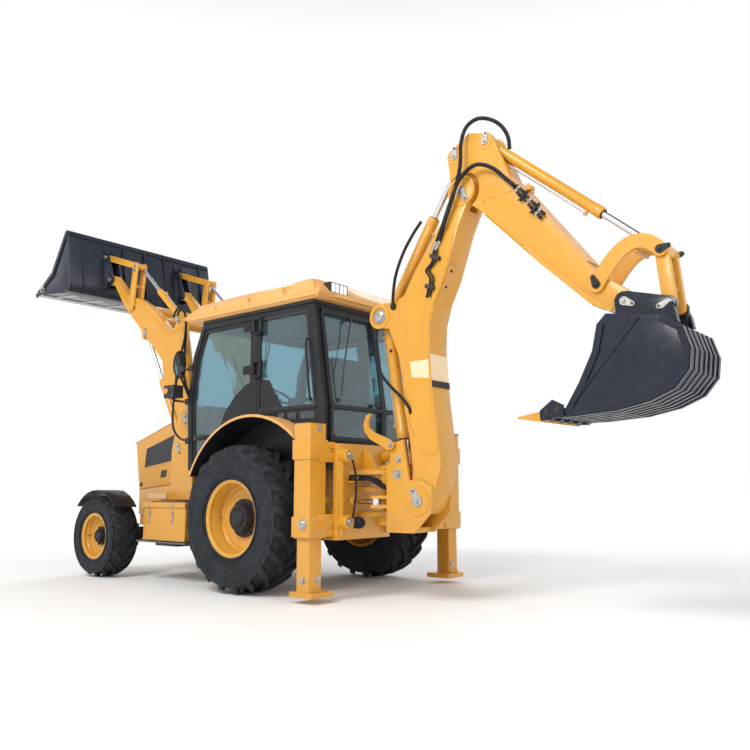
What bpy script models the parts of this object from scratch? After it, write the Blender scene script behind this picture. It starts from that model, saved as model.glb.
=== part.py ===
"""Backhoe loader with a side-shift backhoe and vertical stabiliser legs.

Machine frame: +X forward, +Y to the driver's left, +Z up, metres.  The design is drawn from the
rear axle (X = 0) and the empty "machine_origin" then moves it, so that X = 0 is the middle of
the whole machine.  All angles are in degrees.
"""
import math

import bmesh
import bpy
from mathutils import Matrix, Vector

# ---------------------------------------------------------------- driving dimensions
MACHINE_SHIFT_X = 0.0525     # from the rear axle to the middle of the whole machine
SEAT_GAP = 0.0003            # between two pieces that are bolted or welded face to face
PIN_GAP = 0.0005             # between an eye and the lugs that carry it
WHEEL_SEGMENTS = 32
ROUND_SEGMENTS = 14

WHEELBASE = 2.158
REAR_AXLE_Z = 0.6465
REAR_TYRE_WIDTH = 0.43
REAR_RIM_RADIUS = 0.325
REAR_RIM_WIDTH = 0.38
REAR_WHEEL_Y = 0.86
FRONT_AXLE_Z = 0.4155
FRONT_TYRE_WIDTH = 0.30
FRONT_RIM_RADIUS = 0.225
FRONT_RIM_WIDTH = 0.27
FRONT_WHEEL_Y = 0.925
KINGPIN_Y = 0.69

AXLE_TUBE_RADIUS = 0.09
RAIL_INNER_Y = 0.30
RAIL_OUTER_Y = 0.38
RAIL_TOP_Z = 0.84
RAIL_BOTTOM_Z = 0.56
SKIRT_OUTER_Y = 0.42

HOOD_HALF_WIDTH = 0.42
HOOD_WALL = 0.015
HOOD_REAR_X = 1.20
HOOD_HINGE = (1.20, 1.70)

LOADER_Y = 0.51              # middle plane of each loader arm
ARM_HALF = 0.040             # half thickness of a loader arm
BOSS_HALF = 0.044            # half width of the bosses at its pins
ARM_PIVOT = (1.33, 1.64)
BUCKET_PIN = (2.89, 3.37)
BUCKET_LINK_PIN = (3.00, 3.67)
LEVER_PIVOT = (2.43, 2.98)
LEVER_TOP = (2.37, 3.45)
TILT_BASE = (1.55, 2.70)
LIFT_ROD_PIN = (2.15, 2.62)
LIFT_BASE = (1.43, 1.34)
TILT_RAM_Y = 0.4875          # plane of the tilt ram between the lever plates
LINK_Y = 0.5325              # plane of the bucket link beside it
LOADER_BUCKET_HALF = 1.02
BUCKET_PLATE = 0.025

CAB_HALF = 0.78
CAB_WALL = 0.05
CAB_FLOOR_Z = 1.08
CAB_TOP_Z = 2.54
PILLAR_X = 0.07              # front face of the door's hinge pillar
DOOR_GAP = 0.006
DOOR_HINGE = (0.03, 0.80)
FENDER_CENTRE = (-0.12, 0.64)
FENDER_RADIUS = 0.91
FENDER_SHEET = 0.02
FENDER_INNER_Y = 0.605
FENDER_OUTER_Y = 0.98

SLEEVE_Y = 0.965
SLEEVE_X = -0.88
SLEEVE_HALF = 0.09
SLEEVE_BOTTOM_Z = 0.51
SLEEVE_TOP_Z = 1.436
LEG_HALF = 0.070
LEG_LENGTH = 0.93
PAD_BOTTOM_Z = 0.05
PAD_THICKNESS = 0.043
BEAM_REAR_X = -0.985

BACKHOE_Y = 0.46             # the carriage is shifted fully to the left
CARRIAGE_HALF = 0.34
SWING_X = -1.30
SWING_RAM_OFFSET = 0.17
SWING_RAM_Z = 0.80
BOOM_FOOT = (-1.70, 0.81)
BOOM_RAM_FOOT = (-1.50, 1.02)
BOOM_LUG = (-1.30, 2.335)
DIPPER_PIVOT = (-2.136, 3.233)
DIPPER_RAM_PIN = (-2.061, 3.544)
SCOOP_RAM_BASE = (-2.348, 3.590)
SCOOP_PIN = (-3.417, 2.146)
ROCKER_PIN = (-3.226, 2.291)
ROCKER_TOP = (-3.671, 2.456)
SCOOP_LINK_PIN = (-3.709, 2.086)
BOOM_HALF = 0.12
KINGPOST_PLATE = 0.025
DIPPER_HALF = 0.10
SCOOP_HALF = 0.30
SCOOP_PLATE = 0.018

YELLOW = (0.84, 0.41, 0.035)
CREAM = (0.80, 0.50, 0.20)
BLACK = (0.012, 0.013, 0.016)
STEEL = (0.62, 0.64, 0.66)
GLASS = (0.25, 0.45, 0.52)

for old in list(bpy.data.objects):
    bpy.data.objects.remove(old)

MACHINE = bpy.data.objects.new("machine_origin", None)
MACHINE.location = (MACHINE_SHIFT_X, 0.0, 0.0)
bpy.context.scene.collection.objects.link(MACHINE)


# ---------------------------------------------------------------- materials
def make_material(name, colour, roughness, metallic=0.0, alpha=1.0):
    material = bpy.data.materials.new(name)
    material.use_nodes = True
    shader = material.node_tree.nodes["Principled BSDF"]
    shader.inputs["Base Color"].default_value = (*colour, 1.0)
    shader.inputs["Roughness"].default_value = roughness
    shader.inputs["Metallic"].default_value = metallic
    shader.inputs["Alpha"].default_value = alpha
    return material


PAINT = make_material("machine_paint", YELLOW, 0.35)
ROOF_PAINT = make_material("roof_paint", CREAM, 0.45)
BUCKET_PAINT = make_material("bucket_paint", BLACK, 0.3)
BLACK_PAINT = make_material("black_paint", BLACK, 0.5)
TYRE_RUBBER = make_material("tyre_rubber", (0.03, 0.035, 0.045), 0.85)
CHROME = make_material("chrome", STEEL, 0.12, metallic=1.0)
CASTING = make_material("casting", (0.05, 0.05, 0.055), 0.6, metallic=0.6)
SEAT_VINYL = make_material("seat_vinyl", (0.03, 0.03, 0.03), 0.7)
CAB_GLASS = make_material("cab_glass", GLASS, 0.05, alpha=0.35)


# ---------------------------------------------------------------- shape helpers
def mesh_object(name, vertices, faces, material=None):
    mesh = bpy.data.meshes.new(name)
    mesh.from_pydata([tuple(v) for v in vertices], [], faces)
    work = bmesh.new()
    work.from_mesh(mesh)
    bmesh.ops.recalc_face_normals(work, faces=work.faces)
    work.to_mesh(mesh)
    work.free()
    obj = bpy.data.objects.new(name, mesh)
    obj.parent = MACHINE
    bpy.context.scene.collection.objects.link(obj)
    if material is not None:
        mesh.materials.append(material)
    return obj


def extruded(name, near, far, material=None):
    """A closed solid between two outlines that have the same number of points."""
    count = len(near)
    faces = [tuple(range(count)), tuple(range(2 * count - 1, count - 1, -1))]
    for i in range(count):
        j = (i + 1) % count
        faces.append((i, j, count + j, count + i))
    return mesh_object(name, list(near) + list(far), faces, material)


def plate(name, outline, y0, y1, material=None):
    """A plate whose outline is given in X and Z."""
    near = [(x, y0, z) for x, z in outline]
    far = [(x, y1, z) for x, z in outline]
    return extruded(name, near, far, material)


def level_plate(name, outline, z0, z1, material=None):
    """A plate whose outline is given in X and Y."""
    near = [(x, y, z0) for x, y in outline]
    far = [(x, y, z1) for x, y in outline]
    return extruded(name, near, far, material)


def box(name, xs, ys, zs, material=None):
    outline = [(xs[0], zs[0]), (xs[1], zs[0]), (xs[1], zs[1]), (xs[0], zs[1])]
    return plate(name, outline, ys[0], ys[1], material)


def tube(name, start, end, radius, material=None, segments=ROUND_SEGMENTS):
    """A round bar between two points."""
    start = Vector(start)
    end = Vector(end)
    turn = (end - start).to_track_quat("Z", "Y").to_matrix()
    rings = []
    for centre in (start, end):
        for i in range(segments):
            angle = 2 * math.pi * (i + 0.5) / segments
            offset = Vector((radius * math.cos(angle), radius * math.sin(angle), 0.0))
            rings.append(centre + turn @ offset)
    obj = extruded(name, rings[:segments], rings[segments:], material)
    smooth(obj)
    return obj


def cross_tube(name, centre, y0, y1, radius, material=None, segments=ROUND_SEGMENTS):
    return tube(name, (centre[0], y0, centre[1]), (centre[0], y1, centre[1]), radius, material,
                segments)


def lathe(name, profile, centre, material=None, segments=WHEEL_SEGMENTS):
    """A solid of revolution about the line along Y through centre.

    The profile is a list of (radius, y offset).  Points with radius 0 become poles.
    A flat of the polygon is at the bottom, and the radius is measured to the flats.
    """
    stretch = 1.0 / math.cos(math.pi / segments)
    vertices = []
    rows = []
    for radius, offset in profile:
        if radius == 0.0:
            rows.append([len(vertices)] * segments)
            vertices.append((centre[0], centre[1] + offset, centre[2]))
            continue
        row = []
        for i in range(segments):
            angle = 2 * math.pi * (i + 0.5) / segments - math.pi / 2
            row.append(len(vertices))
            vertices.append((centre[0] + radius * stretch * math.cos(angle),
                             centre[1] + offset,
                             centre[2] + radius * stretch * math.sin(angle)))
        rows.append(row)
    faces = []
    for a, b in zip(rows, rows[1:] + rows[:1]):
        for i in range(segments):
            j = (i + 1) % segments
            corner = []
            for index in (a[i], a[j], b[j], b[i]):
                if index not in corner:
                    corner.append(index)
            if len(corner) > 2:
                faces.append(tuple(corner))
    obj = mesh_object(name, vertices, faces, material)
    smooth(obj)
    return obj


def smooth(obj):
    obj.data.shade_smooth()
    obj.data.set_sharp_from_angle(angle=math.radians(35))


def combine(target, tools, operation):
    for tool in tools:
        modifier = target.modifiers.new(tool.name, "BOOLEAN")
        modifier.operation = operation
        modifier.solver = "EXACT"
        modifier.object = tool
        tool.hide_render = True
        tool.display_type = "WIRE"
    return target


def add(target, *tools):
    return combine(target, tools, "UNION")


def cut(target, *tools):
    return combine(target, tools, "DIFFERENCE")


def set_pivot(obj, x, y, z):
    """Move the object's origin to its joint, with its shape left where it is."""
    obj.data.transform(Matrix.Translation((-x, -y, -z)))
    obj.location = (x, y, z)
    return obj


def along(start, end, distance):
    """The point that is the distance from start towards end, in X and Z."""
    run = Vector((end[0] - start[0], end[1] - start[1]))
    run.normalize()
    return (start[0] + run.x * distance, start[1] + run.y * distance)


def arc(centre, radius, start, end, steps):
    """Points on an arc in X and Z, from one angle to another."""
    points = []
    for i in range(steps + 1):
        angle = math.radians(start + (end - start) * i / steps)
        points.append((centre[0] + radius * math.cos(angle),
                       centre[1] + radius * math.sin(angle)))
    return points


def bar_outline(start, end, start_radius, end_radius, steps=6):
    """The outline of a flat link: two rounded ends with straight sides."""
    heading = math.degrees(math.atan2(end[1] - start[1], end[0] - start[0]))
    first = arc(start, start_radius, heading + 90, heading + 270, steps)
    second = arc(end, end_radius, heading - 90, heading + 90, steps)
    return first + second


def in_xz(point, y):
    return (point[0], y, point[1])


def eye_ram(name, base, eye, y, sizes):
    """A hydraulic ram in a plane of constant Y: a barrel at base and a rod up to eye.

    sizes holds barrel_radius, rod_radius, barrel_length, rod_length, base_half, eye_half,
    base_radius and eye_radius.
    """
    gland = along(base, eye, sizes["barrel_length"])
    bottom = along(base, eye, sizes["base_radius"] + 0.015)
    barrel = tube(name + "_barrel", in_xz(bottom, y), in_xz(gland, y), sizes["barrel_radius"],
                  PAINT)
    rod_end = along(eye, base, sizes["rod_length"])
    bore_radius = sizes["rod_radius"] / math.cos(math.pi / ROUND_SEGMENTS) + PIN_GAP
    bore = tube(name + "_bore", in_xz(along(base, eye, sizes["bore_start"]), y),
                in_xz(along(base, eye, sizes["barrel_length"] + 0.01), y), bore_radius)
    shank = bar_outline(base, along(base, eye, sizes["base_radius"] + 0.03),
                        sizes["base_radius"], sizes["barrel_radius"] * 0.8)
    add(barrel, plate(name + "_base_eye", shank, y - sizes["base_half"],
                      y + sizes["base_half"]))
    if "fork_half" in sizes:
        cut(barrel, cross_tube(name + "_fork", base, y - sizes["fork_half"],
                               y + sizes["fork_half"], 0.075))
    cut(barrel, bore)
    set_pivot(barrel, base[0], y, base[1])
    rod = tube(name + "_rod", in_xz(rod_end, y), in_xz(eye, y), sizes["rod_radius"], CHROME)
    rod_eye = cross_tube(name + "_rod_eye", eye, y - sizes["eye_half"], y + sizes["eye_half"],
                         sizes["eye_radius"])
    add(rod, rod_eye)
    set_pivot(rod, eye[0], y, eye[1])
    return barrel, rod


# ---------------------------------------------------------------- wheels and axles
def tyre(name, x, y, axle_z, width, rim_radius):
    half = width / 2
    bead = rim_radius + SEAT_GAP
    profile = [(bead, -0.80 * half), (bead, 0.80 * half), (0.5 * (bead + axle_z), half),
               (0.94 * axle_z, 0.92 * half), (axle_z, 0.70 * half), (axle_z, -0.70 * half),
               (0.94 * axle_z, -0.92 * half), (0.5 * (bead + axle_z), -half)]
    obj = lathe(name, profile, (x, y, axle_z), TYRE_RUBBER)
    return set_pivot(obj, x, y, axle_z)


def rim(name, x, y, axle_z, side, sizes):
    """sizes: rim radius, rim half width, hub radius, hub inner face, disc, cap radius, cap face."""
    radius, half, hub_radius, hub_face, disc, cap_radius, cap_face = sizes
    shell = 0.02
    profile = [(0.0, hub_face), (hub_radius, hub_face), (hub_radius, disc - 0.012),
               (radius - shell, disc - 0.012), (radius - shell, -half), (radius, -half),
               (radius, half), (radius - shell, half), (radius - shell, disc + 0.012),
               (cap_radius, disc + 0.012), (cap_radius, cap_face), (0.0, cap_face)]
    profile = [(r, side * t) for r, t in profile]
    obj = lathe(name, profile, (x, y, axle_z), PAINT)
    return set_pivot(obj, x, y, axle_z)


REAR_RIM = (REAR_RIM_RADIUS, REAR_RIM_WIDTH / 2, 0.13, -0.13, 0.02, 0.155, 0.125)
FRONT_RIM = (FRONT_RIM_RADIUS, FRONT_RIM_WIDTH / 2, 0.09, -0.05, 0.03, 0.085, 0.10)


def build_wheels():
    for word, side in (("left", 1), ("right", -1)):
        tyre("rear_tyre_" + word, 0.0, side * REAR_WHEEL_Y, REAR_AXLE_Z, REAR_TYRE_WIDTH,
             REAR_RIM_RADIUS)
        rim("rear_rim_" + word, 0.0, side * REAR_WHEEL_Y, REAR_AXLE_Z, side, REAR_RIM)
        tyre("front_tyre_" + word, WHEELBASE, side * FRONT_WHEEL_Y, FRONT_AXLE_Z,
             FRONT_TYRE_WIDTH, FRONT_RIM_RADIUS)
        rim("front_rim_" + word, WHEELBASE, side * FRONT_WHEEL_Y, FRONT_AXLE_Z, side, FRONT_RIM)


def build_rear_axle():
    end_y = REAR_WHEEL_Y + REAR_RIM[3] - SEAT_GAP
    axle = tube("rear_axle", (0.0, -end_y, REAR_AXLE_Z), (0.0, end_y, REAR_AXLE_Z),
                AXLE_TUBE_RADIUS, CASTING)
    housing = tube("tool_rear_housing", (0.0, -0.20, REAR_AXLE_Z), (0.0, 0.20, REAR_AXLE_Z),
                   0.17)
    nose = tube("tool_rear_nose", (0.0, 0.0, REAR_AXLE_Z), (0.32, 0.0, REAR_AXLE_Z), 0.09)
    add(axle, housing, nose)


KNUCKLE_HALF_HEIGHT = 0.085
FORK_PLATE = 0.03
FORK_RADIUS = 0.05


def build_front_axle():
    beam = box("front_axle", (WHEELBASE - 0.07, WHEELBASE + 0.07), (-0.60, 0.60),
               (FRONT_AXLE_Z - 0.075, FRONT_AXLE_Z + 0.075), CASTING)
    fork_low = FRONT_AXLE_Z - KNUCKLE_HALF_HEIGHT - PIN_GAP
    fork_high = FRONT_AXLE_Z + KNUCKLE_HALF_HEIGHT + PIN_GAP
    for word, side in (("left", 1), ("right", -1)):
        web = box("tool_fork_web_" + word, (WHEELBASE - 0.06, WHEELBASE + 0.06),
                  sorted((side * 0.56, side * 0.61)), (fork_low - FORK_PLATE,
                                                       fork_high + FORK_PLATE))
        lugs = []
        for level, low in (("upper", fork_high), ("lower", fork_low - FORK_PLATE)):
            outline = [(x + WHEELBASE, side * KINGPIN_Y + side * t)
                       for x, t in arc((0.0, 0.0), FORK_RADIUS, 0, 180, 8)]
            outline += [(WHEELBASE - FORK_RADIUS, side * 0.58),
                        (WHEELBASE + FORK_RADIUS, side * 0.58)]
            lugs.append(level_plate("tool_fork_" + level + "_" + word, outline, low,
                                    low + FORK_PLATE))
        add(beam, web, *lugs)
    bolster = box("tool_axle_saddle", (WHEELBASE - 0.10, WHEELBASE + 0.10), (-0.11, 0.11),
                  (FRONT_AXLE_Z, FRONT_AXLE_Z + 0.13))
    add(beam, bolster)


AXLE_SADDLE_TOP = FRONT_AXLE_Z + 0.13


def build_knuckles():
    guard_inner = FRONT_AXLE_Z + 0.045
    guard_outer = guard_inner + 0.012
    bracket_y = (0.746, 0.762)
    for word, side in (("left", 1), ("right", -1)):
        block = box("steering_knuckle_" + word, (WHEELBASE - 0.045, WHEELBASE + 0.045),
                    sorted((side * (KINGPIN_Y - 0.045), side * (KINGPIN_Y + 0.06))),
                    (FRONT_AXLE_Z - KNUCKLE_HALF_HEIGHT, FRONT_AXLE_Z + KNUCKLE_HALF_HEIGHT),
                    CASTING)
        hub_face = side * (FRONT_WHEEL_Y + FRONT_RIM[3] - SEAT_GAP)
        spindle = tube("tool_spindle_" + word, (WHEELBASE, side * KINGPIN_Y, FRONT_AXLE_Z),
                       (WHEELBASE, hub_face, FRONT_AXLE_Z), 0.06)
        bracket = box("tool_guard_bracket_" + word, (WHEELBASE - 0.04, WHEELBASE + 0.04),
                      sorted((side * bracket_y[0], side * bracket_y[1])),
                      (FRONT_AXLE_Z - 0.05, FRONT_AXLE_Z + guard_inner + 0.005))
        centre = (WHEELBASE, FRONT_AXLE_Z)
        outline = arc(centre, guard_outer, 40, 140, 10) + arc(centre, guard_inner, 140, 40, 10)
        guard = plate("tool_mudguard_" + word, outline,
                      *sorted((side * 0.80, side * 1.06)))
        tab = box("tool_guard_tab_" + word, (WHEELBASE - 0.04, WHEELBASE + 0.04),
                  sorted((side * bracket_y[0], side * 0.90)),
                  (FRONT_AXLE_Z + guard_inner - 0.006, FRONT_AXLE_Z + guard_inner + 0.005))
        add(block, spindle, bracket, guard, tab)
        set_pivot(block, WHEELBASE, side * KINGPIN_Y, FRONT_AXLE_Z)


# ---------------------------------------------------------------- chassis, engine and hood
TOWER_INNER = (LOADER_Y - BOSS_HALF - PIN_GAP - 0.022, LOADER_Y - BOSS_HALF - PIN_GAP)
TOWER_OUTER = (LOADER_Y + BOSS_HALF + PIN_GAP, LOADER_Y + BOSS_HALF + PIN_GAP + 0.022)
TOWER_FOOT_Z = 0.90
DECK_BOTTOM_Z = 0.79


def build_chassis():
    axle_seat = REAR_AXLE_Z + AXLE_TUBE_RADIUS + SEAT_GAP
    rail_rear = BEAM_REAR_X + 0.14 + SEAT_GAP
    outline = [(2.34, RAIL_BOTTOM_Z), (2.34, RAIL_TOP_Z), (0.35, RAIL_TOP_Z), (0.22, 0.92),
               (-0.20, 0.92), (-0.34, 0.72), (rail_rear, 0.72), (rail_rear, 0.52),
               (-0.26, 0.52), (-0.14, axle_seat), (0.14, axle_seat), (0.32, RAIL_BOTTOM_Z)]
    frame = plate("chassis_frame", outline, RAIL_INNER_Y, RAIL_OUTER_Y, PAINT)
    other = plate("tool_rail_right", outline, -RAIL_OUTER_Y, -RAIL_INNER_Y)
    parts = [other]
    for label, xs, zs in (("front", (2.30, 2.38), (0.50, 0.86)),
                          ("saddle", (2.03, 2.29), (AXLE_SADDLE_TOP + SEAT_GAP, 0.70)),
                          ("middle", (0.98, 1.10), (0.60, 0.78)),
                          ("rear", (-0.60, -0.48), (0.54, 0.70))):
        parts.append(box("tool_cross_" + label, xs, (-RAIL_OUTER_Y + 0.01, RAIL_OUTER_Y - 0.01),
                         zs))
    parts.append(box("tool_firewall", (1.10, 1.16), (-0.39, 0.39), (0.80, 1.655)))
    for word, side in (("left", 1), ("right", -1)):
        skirt = [(1.20, 0.62), (1.20, 0.995), (2.335, 0.895), (2.335, 0.62)]
        parts.append(plate("tool_skirt_" + word, skirt,
                           *sorted((side * 0.37, side * SKIRT_OUTER_Y))))
        parts.append(box("tool_deck_" + word, (1.16, 1.56),
                         sorted((side * 0.31, side * 0.60)), (DECK_BOTTOM_Z, TOWER_FOOT_Z)))
        for label, ys in (("inner", TOWER_INNER), ("outer", TOWER_OUTER)):
            shape = [(1.18, 0.85), (1.54, 0.85), (1.54, 1.30)]
            shape += arc(ARM_PIVOT, 0.13, -10, 175, 7)
            parts.append(plate("tool_tower_" + label + "_" + word, shape,
                               *sorted((side * ys[0], side * ys[1]))))
        for label, x in (("front", 0.80), ("back", -0.50)):
            parts.append(box("tool_cab_mount_" + label + "_" + word, (x - 0.06, x + 0.06),
                             sorted((side * 0.31, side * 0.46)),
                             (0.60 if x < 0 else 0.78, CAB_FLOOR_Z - SEAT_GAP)))
    add(frame, *parts)


def build_engine():
    box("engine_block", (1.26, 2.02), (-0.27, 0.27), (0.80, 1.36), CASTING)
    mount = box("tool_engine_mount", (1.45, 1.80), (-RAIL_INNER_Y + SEAT_GAP,
                                                    RAIL_INNER_Y - SEAT_GAP), (0.70, 0.82))
    add(bpy.data.objects["engine_block"], mount)


def build_hood():
    outline = [(HOOD_REAR_X, 0.995 + SEAT_GAP), (HOOD_REAR_X, 1.76), (1.77, 1.61), (2.42, 1.415),
               (2.42, 1.385), (2.335, 0.895 + SEAT_GAP)]
    hood = plate("hood", outline, -HOOD_HALF_WIDTH, HOOD_HALF_WIDTH, PAINT)
    inner = [(HOOD_REAR_X - 0.1, 0.70), (HOOD_REAR_X - 0.1, 1.76), (HOOD_REAR_X, 1.742),
             (1.77, 1.59), (2.39, 1.39), (2.315, 0.70)]
    half = HOOD_HALF_WIDTH - HOOD_WALL
    cut(hood, plate("tool_hood_inside", inner, -half, half))
    for word, side in (("left", 1), ("right", -1)):
        lug = box("tool_hood_lug_" + word, (1.1603, 1.24), sorted((side * 0.30, side * 0.33)),
                  (1.60, 1.75))
        add(hood, lug)
    return set_pivot(hood, HOOD_HINGE[0], 0.0, HOOD_HINGE[1])


# ---------------------------------------------------------------- side boxes
SIDE_BOX_X = (0.84, 1.52)
SIDE_BOX_Z = (0.40, 0.77)
SIDE_BOX_OUTER_Y = 0.90
LID_HINGE_Y = 0.625
LID_SHEET = 0.025


def build_side_boxes():
    inner_y = SKIRT_OUTER_Y + SEAT_GAP
    tank = box("fuel_tank_right", SIDE_BOX_X, (-SIDE_BOX_OUTER_Y, -inner_y), SIDE_BOX_Z, PAINT)
    neck = tube("tool_filler", (1.02, -0.76, 0.74), (1.02, -0.76, 0.84), 0.05)
    add(tank, neck)
    rim_z = SIDE_BOX_Z[1] - LID_SHEET
    toolbox = box("toolbox_left", SIDE_BOX_X, (inner_y, SIDE_BOX_OUTER_Y),
                  (SIDE_BOX_Z[0], rim_z), PAINT)
    deck = box("tool_box_deck", SIDE_BOX_X, (inner_y, LID_HINGE_Y - 0.006),
               (rim_z - 0.02, SIDE_BOX_Z[1]))
    hollow = box("tool_box_inside", (SIDE_BOX_X[0] + 0.02, SIDE_BOX_X[1] - 0.02),
                 (LID_HINGE_Y + 0.02, SIDE_BOX_OUTER_Y - 0.02),
                 (SIDE_BOX_Z[0] + 0.02, SIDE_BOX_Z[1] + 0.05))
    add(toolbox, deck)
    cut(toolbox, hollow)
    lid = box("toolbox_lid", (SIDE_BOX_X[0] - 0.01, SIDE_BOX_X[1] + 0.01),
              (LID_HINGE_Y, SIDE_BOX_OUTER_Y + 0.01), (rim_z + SEAT_GAP, SIDE_BOX_Z[1]), PAINT)
    set_pivot(lid, 0.5 * (SIDE_BOX_X[0] + SIDE_BOX_X[1]), LID_HINGE_Y, SIDE_BOX_Z[1])


# ---------------------------------------------------------------- cab
CAB_OUTLINE = [(0.98, CAB_FLOOR_Z), (1.02, 1.75), (0.95, 2.20), (0.80, CAB_TOP_Z),
               (-0.72, CAB_TOP_Z), (-0.86, 1.60), (-0.86, 1.28), (-0.80, CAB_FLOOR_Z)]
FENDER_START = 25
FENDER_STEP = 7
WINDOW_LOW_Z = 1.32
WINDOW_HIGH_Z = 2.46
WINDOW_HALF = 0.70
DOOR_LOW_Z = 1.14


def fender_arc(radius, start, steps):
    return arc(FENDER_CENTRE, radius, start, start + steps * FENDER_STEP, steps)


def door_outline(inset):
    """The doorway's outline in X and Z, drawn inwards by inset."""
    low = DOOR_LOW_Z + inset
    centre_z = FENDER_CENTRE[1]
    radius = FENDER_RADIUS + 0.055 + inset
    first = math.degrees(math.asin((low - centre_z) / radius))
    last = math.degrees(math.acos((PILLAR_X + inset - FENDER_CENTRE[0]) / radius))
    front = 0.925 - inset
    return (arc(FENDER_CENTRE, radius, last, first, 6)
            + [(front, low), (front + 0.035, 1.75), (front - 0.025, 2.16),
               (front - 0.145, WINDOW_HIGH_Z - inset), (PILLAR_X + inset, WINDOW_HIGH_Z - inset)])


def build_cab_frame():
    cab = plate("cab_frame", CAB_OUTLINE, -CAB_HALF, CAB_HALF, BLACK_PAINT)
    wall = CAB_WALL
    inside = [(0.98 - wall, CAB_FLOOR_Z + wall), (1.02 - wall, 1.75), (0.95 - wall, 2.18),
              (0.80 - wall, CAB_TOP_Z + 0.05), (-0.72 + wall, CAB_TOP_Z + 0.05),
              (-0.86 + wall, 1.61), (-0.86 + wall, 1.28), (-0.80 + wall, CAB_FLOOR_Z + wall)]
    half = CAB_HALF - wall
    quarter = [(-0.01, 1.60), (-0.01, WINDOW_HIGH_Z), (-0.64, WINDOW_HIGH_Z), (-0.76, 1.60)]
    tools = [plate("tool_cab_inside", inside, -half, half),
             box("tool_windscreen_hole", (0.70, 1.20), (-WINDOW_HALF, WINDOW_HALF),
                 (WINDOW_LOW_Z, WINDOW_HIGH_Z)),
             box("tool_rear_window_hole", (-1.00, -0.60), (-WINDOW_HALF, WINDOW_HALF),
                 (WINDOW_LOW_Z, WINDOW_HIGH_Z)),
             plate("tool_quarter_hole", quarter, -1.0, 1.0),
             plate("tool_door_hole", door_outline(0.0), -1.0, 1.0)]
    for word, side in (("left", 1), ("right", -1)):
        y0, y1 = sorted((side * (FENDER_INNER_Y - SEAT_GAP), side * 1.0))
        tools.append(plate("tool_wheel_arch_" + word,
                           fender_arc(FENDER_RADIUS + SEAT_GAP, FENDER_START - 7 * FENDER_STEP,
                                      31), y0, y1))
    cut(cab, *tools)


def glass_strip(name, face, inset, half_width):
    """A bent pane that follows a run of (x, z) points, moved by inset along X."""
    pane = 0.008 if inset > 0 else -0.008
    outline = [(x - inset, z) for x, z in face]
    outline += [(x - inset - pane, z) for x, z in reversed(face)]
    return plate(name, outline, -half_width, half_width, CAB_GLASS)


def build_cab_glass():
    low = WINDOW_LOW_Z + SEAT_GAP
    high = WINDOW_HIGH_Z - SEAT_GAP
    half = WINDOW_HALF - SEAT_GAP
    front_low = 0.98 + 0.04 * (low - CAB_FLOOR_Z) / (1.75 - CAB_FLOOR_Z)
    front_high = 0.95 - 0.15 * (high - 2.20) / (CAB_TOP_Z - 2.20)
    glass_strip("windscreen", [(front_low, low), (1.02, 1.75), (0.95, 2.20), (front_high, high)],
                0.02, half)
    rear_high = -0.72 - 0.14 * (CAB_TOP_Z - high) / (CAB_TOP_Z - 1.60)
    glass_strip("rear_window", [(-0.86, low), (-0.86, 1.60), (rear_high, high)], -0.02, half)


def build_doors():
    for word, side in (("left", 1), ("right", -1)):
        y0, y1 = sorted((side * 0.735, side * 0.775))
        door = plate("cab_door_" + word, door_outline(DOOR_GAP), y0, y1, CAB_GLASS)
        parts = []
        for level, z in (("lower", 1.94), ("upper", 2.34)):
            x, y = DOOR_HINGE
            parts.append(tube("tool_hinge_" + level + "_" + word, (x, side * y, z),
                              (x, side * y, z + 0.10), 0.0195))
            leaf = [(x, y - 0.006), (PILLAR_X + 0.012, y - 0.006), (PILLAR_X + 0.012, 0.765),
                    (x + 0.11, 0.765), (x + 0.11, y + 0.012), (x, y + 0.012)]
            leaf = [(px, side * py) for px, py in leaf]
            parts.append(level_plate("tool_leaf_" + level + "_" + word, leaf, z + 0.01,
                                     z + 0.09))
        add(door, *parts)
        set_pivot(door, DOOR_HINGE[0], side * DOOR_HINGE[1], 1.80)


def loft(name, rings, material):
    """A closed solid through rectangles: each ring is (x0, x1, half width, z)."""
    vertices = []
    for x0, x1, half, z in rings:
        vertices += [(x0, -half, z), (x1, -half, z), (x1, half, z), (x0, half, z)]
    faces = [(3, 2, 1, 0)]
    for level in range(len(rings) - 1):
        for i in range(4):
            j = (i + 1) % 4
            a = 4 * level
            faces.append((a + i, a + j, a + 4 + j, a + 4 + i))
    top = 4 * (len(rings) - 1)
    faces.append((top, top + 1, top + 2, top + 3))
    return mesh_object(name, vertices, faces, material)


def build_roof():
    loft("cab_roof", [(-0.80, 0.96, 0.82, CAB_TOP_Z + SEAT_GAP), (-0.86, 1.06, 0.85, 2.59),
                      (-0.74, 0.86, 0.77, 2.72), (-0.52, 0.50, 0.60, 2.79)], ROOF_PAINT)


def build_cab_inside():
    floor_top = CAB_FLOOR_Z + CAB_WALL + SEAT_GAP
    seat = box("driver_seat", (-0.22, 0.16), (-0.20, 0.20), (floor_top, 1.47), SEAT_VINYL)
    cushion = box("tool_cushion", (-0.30, 0.22), (-0.25, 0.25), (1.45, 1.56))
    back = plate("tool_backrest", [(-0.32, 1.50), (-0.20, 1.50), (-0.34, 2.14), (-0.42, 2.14)],
                 -0.23, 0.23)
    add(seat, cushion, back)
    column = plate("steering_console", [(0.86, floor_top), (0.86, 1.60), (0.74, 1.74),
                                        (0.64, 1.70), (0.70, floor_top)], -0.12, 0.12,
                   BLACK_PAINT)
    stem = tube("tool_stem", (0.72, 0.0, 1.66), (0.60, 0.0, 1.86), 0.025)
    wheel = tube("tool_steering_wheel", (0.606, 0.0, 1.85), (0.590, 0.0, 1.877), 0.19)
    add(column, stem, wheel)


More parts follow.
